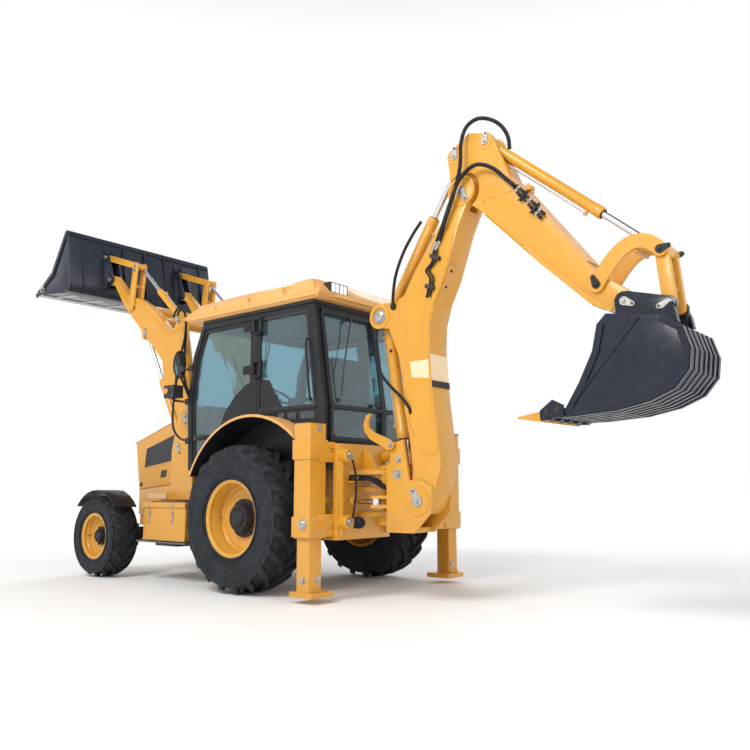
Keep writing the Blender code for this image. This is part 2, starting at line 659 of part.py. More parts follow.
def build_fenders():
    for word, side in (("left", 1), ("right", -1)):
        outer = fender_arc(FENDER_RADIUS, FENDER_START, 15)
        fender = plate("rear_fender_" + word, outer + [(-0.60, 1.02)],
                       *sorted((side * FENDER_INNER_Y, side * FENDER_OUTER_Y)), ROOF_PAINT)
        inner = fender_arc(FENDER_RADIUS - FENDER_SHEET, FENDER_START - 7 * FENDER_STEP, 31)
        hollow = plate("tool_fender_inside_" + word, inner,
                       *sorted((side * (FENDER_INNER_Y + FENDER_SHEET), side * 1.2)))
        cut(fender, hollow)


# ---------------------------------------------------------------- loader
def loader_arm_outline():
    lower = [(2.81, 3.29), (2.60, 3.02), (2.36, 2.80), (1.80, 2.28), (1.76, 2.02), (1.46, 1.62)]
    foot = arc(ARM_PIVOT, 0.12, 0, -180, 6)
    rear = [(1.30, 1.90), (1.42, 2.45), (1.47, 2.62)]
    upper = [(1.70, 2.60), (1.87, 2.77), (2.05, 2.92), (2.28, 3.05), (2.50, 3.11), (2.82, 3.41)]
    nose = arc(BUCKET_PIN, 0.056, 120, -60, 6)
    return lower + foot + rear + upper + nose


def build_loader_arms():
    outline = loader_arm_outline()
    halves = (LOADER_Y - ARM_HALF, LOADER_Y + ARM_HALF)
    arms = plate("loader_arms", outline, halves[0], halves[1], PAINT)
    parts = [plate("tool_arm_right", outline, -halves[1], -halves[0])]
    for label, centre, radius in (("fore", (2.20, 2.92), 0.055), ("aft", (1.93, 2.75), 0.055)):
        parts.append(cross_tube("tool_arm_cross_" + label, centre, -halves[0] - 0.01,
                                halves[0] + 0.01, radius))
    slots = []
    for word, side in (("left", 1), ("right", -1)):
        for label, pin, radius in (("foot", ARM_PIVOT, 0.09), ("nose", BUCKET_PIN, 0.050),
                                   ("lever", LEVER_PIVOT, 0.06)):
            ys = sorted((side * (LOADER_Y - BOSS_HALF), side * (LOADER_Y + BOSS_HALF)))
            parts.append(cross_tube("tool_arm_boss_" + label + "_" + word, pin, ys[0], ys[1],
                                    radius))
        lift_lug = [(1.98, 2.55), (2.28, 2.80)] + arc(LIFT_ROD_PIN, 0.065, 10, -160, 5)
        for label, y0 in (("inner", -0.040), ("outer", 0.0245)):
            ys = sorted((side * (LOADER_Y + y0), side * (LOADER_Y + y0 + 0.0155)))
            parts.append(plate("tool_lift_lug_" + label + "_" + word, lift_lug, ys[0], ys[1]))
        tilt_lug = [(1.44, 2.40), (1.72, 2.50)] + arc(TILT_BASE, 0.06, 0, 190, 5)
        eye_half = 0.0145 + PIN_GAP
        for label, y0, y1 in (("inner", -eye_half - 0.02, -eye_half),
                              ("outer", eye_half, eye_half + 0.02)):
            ys = sorted((side * (TILT_RAM_Y + y0), side * (TILT_RAM_Y + y1)))
            parts.append(plate("tool_tilt_lug_" + label + "_" + word, tilt_lug, ys[0], ys[1]))
        slot_outline = arc(TILT_BASE, 0.075, 0, 360, 16)[:-1]
        ys = sorted((side * (TILT_RAM_Y - eye_half), side * (TILT_RAM_Y + eye_half)))
        slots.append(plate("tool_tilt_slot_" + word, slot_outline, ys[0], ys[1]))
        rod_slot = bar_outline(LIFT_ROD_PIN, along(LIFT_ROD_PIN, LIFT_BASE, 0.45), 0.075, 0.05)
        ys = sorted((side * (LOADER_Y - 0.0245), side * (LOADER_Y + 0.0245)))
        slots.append(plate("tool_lift_slot_" + word, rod_slot, ys[0], ys[1]))
    add(arms, *parts)
    cut(arms, *slots)
    set_pivot(arms, ARM_PIVOT[0], 0.0, ARM_PIVOT[1])


def build_loader_bucket():
    half = LOADER_BUCKET_HALF
    outer = [(3.78, 3.235), (3.10, 3.165), (3.03, 3.175), (2.985, 3.22), (2.985, 3.29),
             (3.10, 3.90), (3.14, 3.925), (3.42, 3.46)]
    bucket = plate("loader_bucket", outer, -half, half, BUCKET_PAINT)
    inner = [(3.90, 3.275), (3.12, 3.19), (3.045, 3.20), (3.01, 3.235), (3.01, 3.29),
             (3.12, 3.885), (3.30, 4.10), (3.90, 3.90)]
    wall = half - BUCKET_PLATE
    cut(bucket, plate("tool_bucket_inside", inner, -wall, wall))
    parts = []
    for word, side in (("left", 1), ("right", -1)):
        for label, offset in (("inner", -BOSS_HALF - PIN_GAP - 0.02),
                              ("outer", BOSS_HALF + PIN_GAP)):
            ys = sorted((side * (LOADER_Y + offset), side * (LOADER_Y + offset + 0.02)))
            shape = [(3.00, 3.28), (3.10, 3.83)]
            shape += arc(BUCKET_LINK_PIN, 0.055, 60, 180, 3)
            shape += arc(BUCKET_PIN, 0.065, 170, 290, 4)
            parts.append(plate("tool_bucket_ear_" + label + "_" + word, shape, ys[0], ys[1]))
    add(bucket, *parts)
    set_pivot(bucket, BUCKET_PIN[0], 0.0, BUCKET_PIN[1])


def build_tilt_linkage():
    for word, side in (("left", 1), ("right", -1)):
        outline = bar_outline(LEVER_PIVOT, LEVER_TOP, 0.055, 0.045, 5)
        inner = LOADER_Y - BOSS_HALF - PIN_GAP
        outer = LOADER_Y + BOSS_HALF + PIN_GAP
        lever = plate("tilt_lever_" + word, outline,
                      *sorted((side * (inner - 0.02), side * inner)), PAINT)
        mate = plate("tool_lever_outer_" + word, outline,
                     *sorted((side * outer, side * (outer + 0.02))))
        spacer = cross_tube("tool_lever_spacer_" + word,
                            along(LEVER_PIVOT, LEVER_TOP, 0.24),
                            *sorted((side * (inner - 0.01), side * (outer + 0.01))), 0.02)
        add(lever, mate, spacer)
        set_pivot(lever, LEVER_PIVOT[0], side * LOADER_Y, LEVER_PIVOT[1])
        shape = bar_outline(LEVER_TOP, BUCKET_LINK_PIN, 0.036, 0.036, 5)
        ys = sorted((side * (LINK_Y - 0.0205), side * (LINK_Y + 0.0215)))
        link = plate("bucket_link_" + word, shape, ys[0], ys[1], PAINT)
        set_pivot(link, LEVER_TOP[0], side * LINK_Y, LEVER_TOP[1])


TILT_RAM = {"barrel_radius": 0.036, "rod_radius": 0.018, "barrel_length": 0.60,
            "rod_length": 0.70, "bore_start": 0.05, "base_half": 0.0145, "eye_half": 0.0215,
            "base_radius": 0.045, "eye_radius": 0.035}
LIFT_RAM = {"barrel_radius": 0.042, "rod_radius": 0.022, "barrel_length": 0.84,
            "rod_length": 0.92, "bore_start": 0.08, "base_half": BOSS_HALF, "eye_half": 0.024,
            "base_radius": 0.045, "eye_radius": 0.045}


def build_loader_rams():
    for word, side in (("left", 1), ("right", -1)):
        eye_ram("tilt_ram_" + word, TILT_BASE, LEVER_TOP, side * TILT_RAM_Y, TILT_RAM)
        eye_ram("lift_ram_" + word, LIFT_BASE, LIFT_ROD_PIN, side * LOADER_Y, LIFT_RAM)


# ---------------------------------------------------------------- rear frame and stabilisers
def build_rear_frame():
    half = SLEEVE_HALF
    lower = box("rear_frame", (BEAM_REAR_X, BEAM_REAR_X + 0.14), (-SLEEVE_Y, SLEEVE_Y),
                (0.52, 0.70), PAINT)
    parts = [box("tool_upper_beam", (BEAM_REAR_X, BEAM_REAR_X + 0.10), (-SLEEVE_Y, SLEEVE_Y),
                 (1.12, 1.24))]
    holes = []
    for word, side in (("left", 1), ("right", -1)):
        y = side * SLEEVE_Y
        parts.append(box("tool_sleeve_" + word, (SLEEVE_X - half, SLEEVE_X + half),
                         (y - half, y + half), (SLEEVE_BOTTOM_Z, SLEEVE_TOP_Z)))
        for label, low, high in (("upper", 1.14, 1.30), ("lower", 0.52, 0.68)):
            parts.append(box("tool_collar_" + label + "_" + word,
                             (SLEEVE_X - half - 0.012, SLEEVE_X + half + 0.012),
                             (y - half - 0.012, y + half + 0.012), (low, high)))
        hole = LEG_HALF + PIN_GAP
        holes.append(box("tool_sleeve_hole_" + word, (SLEEVE_X - hole, SLEEVE_X + hole),
                         (y - hole, y + hole), (SLEEVE_BOTTOM_Z - 0.05, SLEEVE_TOP_Z - 0.01)))
    add(lower, *parts)
    cut(lower, *holes)


def build_stabilisers():
    for word, side in (("left", 1), ("right", -1)):
        y = side * SLEEVE_Y
        top = PAD_BOTTOM_Z + PAD_THICKNESS
        leg = box("stabiliser_leg_" + word, (SLEEVE_X - LEG_HALF, SLEEVE_X + LEG_HALF),
                  (y - LEG_HALF, y + LEG_HALF), (top - 0.01, top + LEG_LENGTH), PAINT)
        pad = box("tool_pad_" + word, (SLEEVE_X - 0.128, SLEEVE_X + 0.128),
                  sorted((side * (SLEEVE_Y - 0.165), side * (SLEEVE_Y + 0.095))),
                  (PAD_BOTTOM_Z, top))
        add(leg, pad)
        set_pivot(leg, SLEEVE_X, y, top)


# ---------------------------------------------------------------- backhoe
HINGE_PLATES = ((0.68, 0.72), (0.88, 0.92))
HINGE_REACH = 0.08
BOOM_RAM = {"barrel_radius": 0.055, "rod_radius": 0.032, "barrel_length": 1.04,
            "rod_length": 1.17, "bore_start": 0.10, "base_half": 0.045, "eye_half": 0.045,
            "base_radius": 0.06, "eye_radius": 0.050}
DIPPER_RAM = {"barrel_radius": 0.05, "rod_radius": 0.028, "barrel_length": 0.92,
              "rod_length": 0.87, "bore_start": 0.13, "base_half": 0.0945, "eye_half": 0.0545,
              "base_radius": 0.06, "eye_radius": 0.050, "fork_half": 0.0455}
SCOOP_RAM = {"barrel_radius": 0.045, "rod_radius": 0.025, "barrel_length": 1.18,
             "rod_length": 1.12, "bore_start": 0.09, "base_half": 0.0545, "eye_half": 0.0595,
             "base_radius": 0.055, "eye_radius": 0.040}


def build_carriage():
    y = BACKHOE_Y
    front = BEAM_REAR_X - PIN_GAP
    plate_x = (front - 0.045, front)
    carriage = box("side_shift_carriage", plate_x, (y - CARRIAGE_HALF, y + CARRIAGE_HALF),
                   (0.50, 1.27), PAINT)
    parts = [box("tool_clamp_upper", (front - 0.045, front + 0.09),
                 (y - CARRIAGE_HALF, y + CARRIAGE_HALF), (1.24 + PIN_GAP, 1.275)),
             box("tool_clamp_lower", (front - 0.045, front + 0.11),
                 (y - CARRIAGE_HALF, y + CARRIAGE_HALF), (0.49, 0.52 - PIN_GAP))]
    for i, (low, high) in enumerate(HINGE_PLATES):
        outline = [(front - 0.02, y - HINGE_REACH), (front - 0.02, y + HINGE_REACH)]
        outline += [(SWING_X + HINGE_REACH * math.cos(a), y + HINGE_REACH * math.sin(a))
                    for a in [math.radians(90 + 22.5 * k) for k in range(9)]]
        parts.append(level_plate("tool_hinge_plate_%d" % i, outline, low, high))
    bores = []
    for word, side in (("left", 1), ("right", -1)):
        ram_y = y + side * SWING_RAM_OFFSET
        parts.append(tube("tool_swing_barrel_" + word, (-0.60, ram_y, SWING_RAM_Z),
                          (-1.05, ram_y, SWING_RAM_Z), 0.036))
        bores.append(tube("tool_swing_bore_" + word, (-0.62, ram_y, SWING_RAM_Z),
                          (-1.08, ram_y, SWING_RAM_Z),
                          0.02 / math.cos(math.pi / ROUND_SEGMENTS) + PIN_GAP))
    add(carriage, *parts)
    cut(carriage, *bores)
    set_pivot(carriage, front, y, 0.90)
    for word, side in (("left", 1), ("right", -1)):
        ram_y = y + side * SWING_RAM_OFFSET
        rod = tube("swing_rod_" + word, (-0.83, ram_y, SWING_RAM_Z),
                   (SWING_X, ram_y, SWING_RAM_Z), 0.02, CHROME)
        eye = tube("tool_swing_eye_" + word, (SWING_X, ram_y, SWING_RAM_Z - 0.0245),
                   (SWING_X, ram_y, SWING_RAM_Z + 0.0245), 0.034)
        add(rod, eye)
        set_pivot(rod, SWING_X, ram_y, SWING_RAM_Z)


def build_kingpost():
    y = BACKHOE_Y
    inner = BOOM_HALF + PIN_GAP
    outer = inner + KINGPOST_PLATE
    side_outline = [(-1.43, 1.27), (-1.42, 0.95), (-1.42, 0.56), (-1.66, 0.56), (-1.82, 0.72)]
    side_outline += [(-1.84, 0.92), (-1.74, 0.97), (-1.62, 0.97), (-1.56, 1.29)]
    post = plate("kingpost", side_outline, y + inner, y + outer, PAINT)
    parts = [plate("tool_kingpost_right", side_outline, y - outer, y - inner),
             box("tool_kingpost_web", (-1.425, -1.39), (y - outer, y + outer), (0.56, 1.10)),
             box("tool_kingpost_sole", (-1.64, -1.41), (y - outer, y + outer), (0.56, 0.60))]
    low = HINGE_PLATES[0][0] - PIN_GAP
    high = HINGE_PLATES[1][1] + PIN_GAP
    for label, z0, z1 in (("upper", high, high + 0.07), ("lower", low - 0.07, low)):
        outline = [(SWING_X + 0.085 * math.cos(a), y + 0.085 * math.sin(a))
                   for a in [math.radians(-90 + 22.5 * k) for k in range(9)]]
        outline += [(-1.42, y + 0.10), (-1.42, y - 0.10)]
        parts.append(level_plate("tool_swing_lug_" + label, outline, z0, z1))
    gap = 0.0245 + PIN_GAP
    for label, z0, z1 in (("upper", SWING_RAM_Z + gap, SWING_RAM_Z + gap + 0.025),
                          ("lower", SWING_RAM_Z - gap - 0.025, SWING_RAM_Z - gap)):
        outline = [(-1.42, y - 0.12), (-1.345, y - 0.20), (-1.27, y - 0.205),
                   (-1.262, y - 0.14), (-1.34, y - 0.10), (-1.40, y - 0.04), (-1.40, y + 0.04),
                   (-1.34, y + 0.10), (-1.262, y + 0.14), (-1.27, y + 0.205),
                   (-1.345, y + 0.20), (-1.42, y + 0.12)]
        parts.append(level_plate("tool_swing_ear_" + label, outline, z0, z1))
    for word, side in (("left", 1), ("right", -1)):
        ys = sorted((y + side * (BOOM_RAM["eye_half"] + PIN_GAP), y + side * (inner + 0.01)))
        parts.append(cross_tube("tool_ram_boss_" + word, BOOM_RAM_FOOT, *ys, 0.05))
    add(post, *parts)
    set_pivot(post, SWING_X, y, 0.80)


def boom_outline():
    foot = arc(BOOM_FOOT, 0.11, 190, 340, 5)
    front = [(-1.64, 1.04), (-1.61, 1.30), (-1.56, 1.54), (-1.54, 1.80), (-1.50, 1.98),
             (-1.40, 2.22)]
    lug = arc(BOOM_LUG, 0.10, -90, 110, 6)
    upper_front = [(-1.44, 2.42), (-1.56, 2.48), (-1.67, 2.66), (-1.83, 2.87), (-2.03, 3.12)]
    head = arc(DIPPER_PIVOT, 0.115, -20, 240, 9)
    rear = [(-2.10, 2.95), (-2.03, 2.75), (-1.96, 2.56), (-1.87, 2.38), (-1.82, 2.21),
            (-1.81, 2.02), (-1.84, 1.60), (-1.91, 1.08)]
    return foot + front + lug + upper_front + head + rear


BOOM_SHEET = 0.022


def build_boom():
    y = BACKHOE_Y
    boom = plate("boom", boom_outline(), y - BOOM_HALF, y + BOOM_HALF, PAINT)
    head_room = plate("tool_boom_head_room", arc(DIPPER_PIVOT, 0.165, -60, 250, 14)
                      + [(-2.155, 3.08), (-2.05, 3.10)], y - 0.05, y + 0.05)
    lug_room = plate("tool_boom_lug_room", arc(BOOM_LUG, 0.165, 0, 360, 20)[:-1],
                     y - 0.095, y + 0.095)
    front_inside = [(-1.66, 1.32), (-1.585, 1.55), (-1.565, 1.80), (-1.525, 1.99), (-1.44, 2.20),
                    (-1.47, 2.38), (-1.575, 2.51), (-1.69, 2.68), (-1.85, 2.89), (-2.03, 3.07)]
    rear_inside = [(-2.12, 3.07), (-2.08, 2.94), (-2.01, 2.76), (-1.94, 2.57), (-1.85, 2.39),
                   (-1.797, 2.21), (-1.787, 2.02), (-1.815, 1.60), (-1.85, 1.32)]
    hollow = plate("tool_boom_inside", front_inside + rear_inside, y - BOOM_HALF + BOOM_SHEET,
                   y + BOOM_HALF - BOOM_SHEET)
    cut(boom, hollow, head_room, lug_room)
    set_pivot(boom, BOOM_FOOT[0], y, BOOM_FOOT[1])


def dipper_outline():
    head = arc(DIPPER_RAM_PIN, 0.07, -30, 80, 3) + [(-2.20, 3.70)]
    head += arc(SCOOP_RAM_BASE, 0.07, 80, 150, 3)
    upper = [(-2.56, 3.25), (-3.16, 2.47)]
    tip = arc(ROCKER_PIN, 0.075, 100, 140, 2) + arc(SCOOP_PIN, 0.075, 140, 310, 5)
    lower = [(-3.20, 2.15), (-2.80, 2.53), (-2.32, 3.02)]
    pivot = arc(DIPPER_PIVOT, 0.10, 250, 340, 4)
    return head + upper + tip + lower + pivot


def build_dipper():
    y = BACKHOE_Y
    half = DIPPER_HALF
    outline = dipper_outline()
    dipper = plate("dipper_arm", outline, y - half, y + half, PAINT)
    tools = []
    for word, side in (("left", 1), ("right", -1)):
        shape = arc(DIPPER_PIVOT, 0.155, 180, 540, 20)[:-1]
        ys = sorted((y + side * (0.05 - PIN_GAP), y + side * 0.14))
        tools.append(plate("tool_dipper_pivot_" + word, shape, *ys))
    slot = [(-1.90, 3.35), (-2.24, 3.40), (-2.60, 3.40), (-2.75, 3.62), (-2.30, 3.85),
            (-1.90, 3.70)]
    tools.append(plate("tool_dipper_slot", slot, y - 0.055, y + 0.055))
    cut(dipper, *tools)
    set_pivot(dipper, DIPPER_PIVOT[0], y, DIPPER_PIVOT[1])


def build_scoop():
    y = BACKHOE_Y
    half = SCOOP_HALF
    outer = [(-3.30, 1.98), (-3.36, 2.04), (-3.72, 1.98), (-3.84, 1.90), (-3.885, 1.76),
             (-3.87, 1.63), (-3.78, 1.52), (-3.62, 1.45), (-3.40, 1.405), (-3.10, 1.385),
             (-2.86, 1.385), (-2.86, 1.41), (-3.06, 1.44), (-3.16, 1.60), (-3.26, 1.80)]
    scoop = plate("backhoe_bucket", outer, y - half, y + half, BUCKET_PAINT)
    inner = [(-3.20, 2.10), (-3.38, 2.02), (-3.70, 1.962), (-3.82, 1.885), (-3.865, 1.76),
             (-3.85, 1.64), (-3.77, 1.538), (-3.615, 1.468), (-3.40, 1.424), (-2.70, 1.41),
             (-2.70, 2.00)]
    wall = half - SCOOP_PLATE
    parts = []
    inside = plate("tool_scoop_inside", inner, y - wall, y + wall)
    cut(scoop, inside)
    for word, side in (("left", 1), ("right", -1)):
        ys = sorted((y + side * (DIPPER_HALF + PIN_GAP), y + side * (DIPPER_HALF + 0.025)))
        shape = arc(SCOOP_PIN, 0.07, -20, 110, 4) + arc(SCOOP_LINK_PIN, 0.055, 80, 200, 3)
        shape += [(-3.74, 1.965), (-3.36, 2.03)]
        parts.append(plate("tool_scoop_ear_" + word, shape, *ys))
    for i in range(5):
        tooth_y = y + (i - 2) * 0.134
        shape = [(-2.95, 1.41), (-2.95, 1.365), (-2.845, 1.37), (-2.70, 1.392), (-2.845, 1.415)]
        parts.append(plate("tool_tooth_%d" % i, shape, tooth_y - 0.03, tooth_y + 0.03))
    add(scoop, *parts)
    set_pivot(scoop, SCOOP_PIN[0], y, SCOOP_PIN[1])


def build_scoop_linkage():
    y = BACKHOE_Y
    outline = bar_outline(ROCKER_PIN, ROCKER_TOP, 0.055, 0.045, 5)
    inner = DIPPER_HALF + PIN_GAP
    rocker = plate("bucket_rocker", outline, y + inner, y + inner + 0.02, BLACK_PAINT)
    mate = plate("tool_rocker_right", outline, y - inner - 0.02, y - inner)
    spacer = cross_tube("tool_rocker_spacer", along(ROCKER_PIN, ROCKER_TOP, 0.30),
                        y - inner - 0.01, y + inner + 0.01, 0.018)
    add(rocker, mate, spacer)
    set_pivot(rocker, ROCKER_PIN[0], y, ROCKER_PIN[1])
    shape = bar_outline(SCOOP_LINK_PIN, ROCKER_TOP, 0.045, 0.045, 5)
    link = plate("bucket_tie_link", shape, y + 0.06, y + DIPPER_HALF, BLACK_PAINT)
    mate = plate("tool_tie_right", shape, y - DIPPER_HALF, y - 0.06)
    spacer = cross_tube("tool_tie_spacer", along(SCOOP_LINK_PIN, ROCKER_TOP, 0.12),
                        y - 0.07, y + 0.07, 0.018)
    add(link, mate, spacer)
    set_pivot(link, SCOOP_LINK_PIN[0], y, SCOOP_LINK_PIN[1])


def build_backhoe_rams():
    y = BACKHOE_Y
    eye_ram("boom_ram", BOOM_LUG, BOOM_RAM_FOOT, y, BOOM_RAM)
    eye_ram("dipper_ram", BOOM_LUG, DIPPER_RAM_PIN, y, DIPPER_RAM)
    eye_ram("bucket_ram", SCOOP_RAM_BASE, ROCKER_TOP, y, SCOOP_RAM)


# ---------------------------------------------------------------- the whole machine
build_wheels()
build_rear_axle()
build_front_axle()
build_knuckles()
build_chassis()
build_engine()
build_hood()
build_side_boxes()
build_cab_frame()
build_cab_glass()
build_doors()
build_roof()
build_cab_inside()
build_fenders()
build_loader_arms()
build_loader_bucket()
build_tilt_linkage()
build_loader_rams()
build_rear_frame()
build_stabilisers()
build_carriage()
build_kingpost()
build_boom()
build_dipper()
build_scoop()
build_scoop_linkage()
build_backhoe_rams()
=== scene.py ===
"""Looks of a backhoe loader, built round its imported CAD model.

Metres; +X forward, +Y left, +Z up.
"""
import math

import bpy
from mathutils import Matrix, Vector


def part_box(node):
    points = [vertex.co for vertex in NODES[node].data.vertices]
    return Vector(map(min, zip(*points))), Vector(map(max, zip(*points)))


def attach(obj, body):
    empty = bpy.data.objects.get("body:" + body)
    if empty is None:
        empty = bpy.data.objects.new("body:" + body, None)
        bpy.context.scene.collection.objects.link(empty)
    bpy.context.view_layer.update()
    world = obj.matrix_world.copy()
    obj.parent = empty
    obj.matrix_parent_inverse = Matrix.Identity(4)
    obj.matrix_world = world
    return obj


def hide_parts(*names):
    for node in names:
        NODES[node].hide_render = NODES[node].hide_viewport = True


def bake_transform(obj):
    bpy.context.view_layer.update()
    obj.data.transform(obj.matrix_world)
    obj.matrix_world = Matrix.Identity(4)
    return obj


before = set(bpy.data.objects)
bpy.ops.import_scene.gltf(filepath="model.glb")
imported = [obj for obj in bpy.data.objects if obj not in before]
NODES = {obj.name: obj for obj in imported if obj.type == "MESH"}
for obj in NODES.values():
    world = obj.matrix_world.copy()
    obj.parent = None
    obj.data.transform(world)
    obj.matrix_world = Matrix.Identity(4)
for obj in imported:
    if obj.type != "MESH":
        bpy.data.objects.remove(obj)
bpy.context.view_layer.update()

# Every position below is given from the rear axle, as the machine was measured.
REAR_TYRE_LOW, REAR_TYRE_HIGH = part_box("rear_tyre_left")
SHIFT = 0.5 * (REAR_TYRE_LOW.x + REAR_TYRE_HIGH.x)
WHEELBASE = 2.158
REAR_RADIUS = 0.6465
FRONT_RADIUS = 0.4155
TIE_ROD_X = WHEELBASE - 0.17
LEG_Y = 0.965
ARM_Y = 0.51
DIG_Y = 0.46

ARM_PIVOT = (1.33, 1.64)
BUCKET_PIN = (2.89, 3.37)
BUCKET_LINK_PIN = (3.00, 3.67)
LEVER_PIVOT = (2.43, 2.98)
LEVER_TOP = (2.37, 3.45)
TILT_BASE = (1.55, 2.70)
LIFT_ROD_PIN = (2.15, 2.62)
LIFT_BASE = (1.43, 1.34)
BOOM_FOOT = (-1.70, 0.81)
BOOM_RAM_FOOT = (-1.50, 1.02)
BOOM_LUG = (-1.30, 2.335)
DIPPER_PIVOT = (-2.136, 3.233)
DIPPER_RAM_PIN = (-2.061, 3.544)
SCOOP_RAM_BASE = (-2.348, 3.590)
SCOOP_PIN = (-3.417, 2.146)
ROCKER_PIN = (-3.226, 2.291)
ROCKER_TOP = (-3.671, 2.456)
SCOOP_LINK_PIN = (-3.709, 2.086)
SIDES = (("left", 1), ("right", -1))


def at(x, y, z):
    return Vector((x + SHIFT, y, z))


def in_xz(point, y):
    return at(point[0], y, point[1])


# ---------------------------------------------------------------- materials
class Nodes:
    """A material's node tree with short names for the nodes that the materials share."""

    def __init__(self, name):
        self.material = bpy.data.materials.new(name)
        self.material.use_nodes = True
        self.tree = self.material.node_tree
        self.shader = self.tree.nodes["Principled BSDF"]
        self.place = self.tree.nodes.new("ShaderNodeTexCoord").outputs["Object"]

    def node(self, kind, **inputs):
        made = self.tree.nodes.new(kind)
        for key, value in inputs.items():
            self.put(made.inputs[key.replace("_", " ")], value)
        return made

    def put(self, socket, value):
        if isinstance(value, bpy.types.NodeSocket):
            self.tree.links.new(value, socket)
        else:
            socket.default_value = value

    def set(self, **inputs):
        for key, value in inputs.items():
            self.put(self.shader.inputs[key.replace("_", " ")], value)

    def noise(self, scale, detail=3.0, roughness=0.55, stretch=None):
        place = self.place
        if stretch:
            mapping = self.node("ShaderNodeMapping", Vector=place, Scale=stretch)
            place = mapping.outputs["Vector"]
        return self.node("ShaderNodeTexNoise", Vector=place, Scale=scale, Detail=detail,
                         Roughness=roughness).outputs["Fac"]

    def ramp(self, value, low, high, dark=0.0, light=1.0):
        made = self.tree.nodes.new("ShaderNodeMapRange")
        self.put(made.inputs["Value"], value)
        for key, number in (("From Min", low), ("From Max", high), ("To Min", dark),
                            ("To Max", light)):
            made.inputs[key].default_value = number
        return made.outputs["Result"]

    def math(self, operation, a, b):
        made = self.tree.nodes.new("ShaderNodeMath")
        made.operation = operation
        self.put(made.inputs[0], a)
        self.put(made.inputs[1], b)
        return made.outputs[0]

    def mix(self, factor, a, b):
        made = self.tree.nodes.new("ShaderNodeMix")
        made.data_type = "RGBA"
        self.put(made.inputs[0], factor)
        self.put(made.inputs[6], a)
        self.put(made.inputs[7], b)
        return made.outputs[2]

    def bump(self, height, strength, distance=0.002):
        made = self.node("ShaderNodeBump", Height=height, Strength=strength, Distance=distance)
        self.set(Normal=made.outputs["Normal"])

    def edges(self, low=0.04, high=0.30):
        """1 along sharp edges, where paint wears first."""
        rounded = self.node("ShaderNodeBevel", Radius=0.006)
        rounded.samples = 4
        flat = self.tree.nodes.new("ShaderNodeNewGeometry").outputs["True Normal"]
        turn = self.tree.nodes.new("ShaderNodeVectorMath")
        turn.operation = "DISTANCE"
        self.put(turn.inputs[0], rounded.outputs["Normal"])
        self.put(turn.inputs[1], flat)
        return self.ramp(turn.outputs["Value"], low, high)

    def height(self, low, high):
        """1 at the low height and 0 at the high one."""
        z = self.node("ShaderNodeSeparateXYZ", Vector=self.place).outputs["Z"]
        return self.ramp(z, low, high, 1.0, 0.0)


def colour(r, g, b):
    return (r, g, b, 1.0)


DUST = colour(0.34, 0.27, 0.19)
STEEL = colour(0.42, 0.41, 0.39)


def painted(name, base, shade, roughness=0.34, coat=0.35, wear=0.35, dust=0.35, gloss=0.5):
    m = Nodes(name)
    patches = m.ramp(m.noise(1.3, 4.0), 0.35, 0.7)
    body = m.mix(patches, base, shade)
    grime = m.math("MULTIPLY", m.ramp(m.noise(9.0, 6.0, 0.7), 0.45, 0.75),
                   m.height(0.25, 1.5))
    body = m.mix(m.math("MULTIPLY", grime, dust), body, DUST)
    chips = m.math("MULTIPLY", m.edges(), m.ramp(m.noise(38.0, 5.0, 0.75), 0.52, 0.62))
    body = m.mix(m.math("MULTIPLY", chips, wear), body, STEEL)
    m.set(Base_Color=body, Coat_Weight=coat, Coat_Roughness=0.12, Specular_IOR_Level=gloss,
          Roughness=m.ramp(m.noise(16.0, 5.0), 0.3, 0.7, roughness - 0.06, roughness + 0.14))
    m.bump(m.noise(420.0, 2.0), 0.05, 0.0006)
    return m.material


def rubber(name, base, shade, dust=0.5):
    m = Nodes(name)
    body = m.mix(m.ramp(m.noise(5.0, 5.0), 0.35, 0.7), base, shade)
    film = m.math("MULTIPLY", m.ramp(m.noise(24.0, 6.0, 0.7), 0.45, 0.8), dust)
    body = m.mix(film, body, colour(0.17, 0.15, 0.13))
    m.set(Base_Color=body, Roughness=m.ramp(m.noise(30.0, 4.0), 0.3, 0.7, 0.55, 0.82),
          Specular_IOR_Level=0.22)
    m.bump(m.noise(160.0, 4.0), 0.25, 0.0015)
    return m.material


def chromed(name):
    m = Nodes(name)
    m.set(Base_Color=colour(0.72, 0.74, 0.76), Metallic=1.0,
          Roughness=m.ramp(m.noise(60.0, 3.0), 0.3, 0.7, 0.14, 0.22))
    return m.material


def bare_metal(name, base, shade, roughness=0.42):
    m = Nodes(name)
    m.set(Base_Color=m.mix(m.ramp(m.noise(22.0, 5.0, 0.7), 0.4, 0.65), base, shade),
          Metallic=0.9, Roughness=m.ramp(m.noise(45.0, 5.0), 0.3, 0.7, roughness - 0.1,
                                         roughness + 0.15))
    m.bump(m.noise(210.0, 4.0), 0.2, 0.0008)
    return m.material


def glass(name, tint):
    m = Nodes(name)
    smear = m.ramp(m.noise(7.0, 5.0, 0.7), 0.4, 0.8, 0.015, 0.07)
    m.set(Base_Color=tint, Roughness=smear, Transmission_Weight=0.93, IOR=1.45,
          Coat_Weight=0.5, Coat_Roughness=0.03)
    return m.material


def lens(name, tint, glow=0.0):
    m = Nodes(name)
    ribs = m.tree.nodes.new("ShaderNodeTexWave")
    m.put(ribs.inputs["Vector"], m.place)
    ribs.inputs["Scale"].default_value = 90.0
    m.set(Base_Color=tint, Roughness=0.12, Transmission_Weight=0.35, Coat_Weight=0.8,
          Emission_Color=tint, Emission_Strength=glow)
    m.bump(ribs.outputs["Fac"], 0.35, 0.0008)
    return m.material


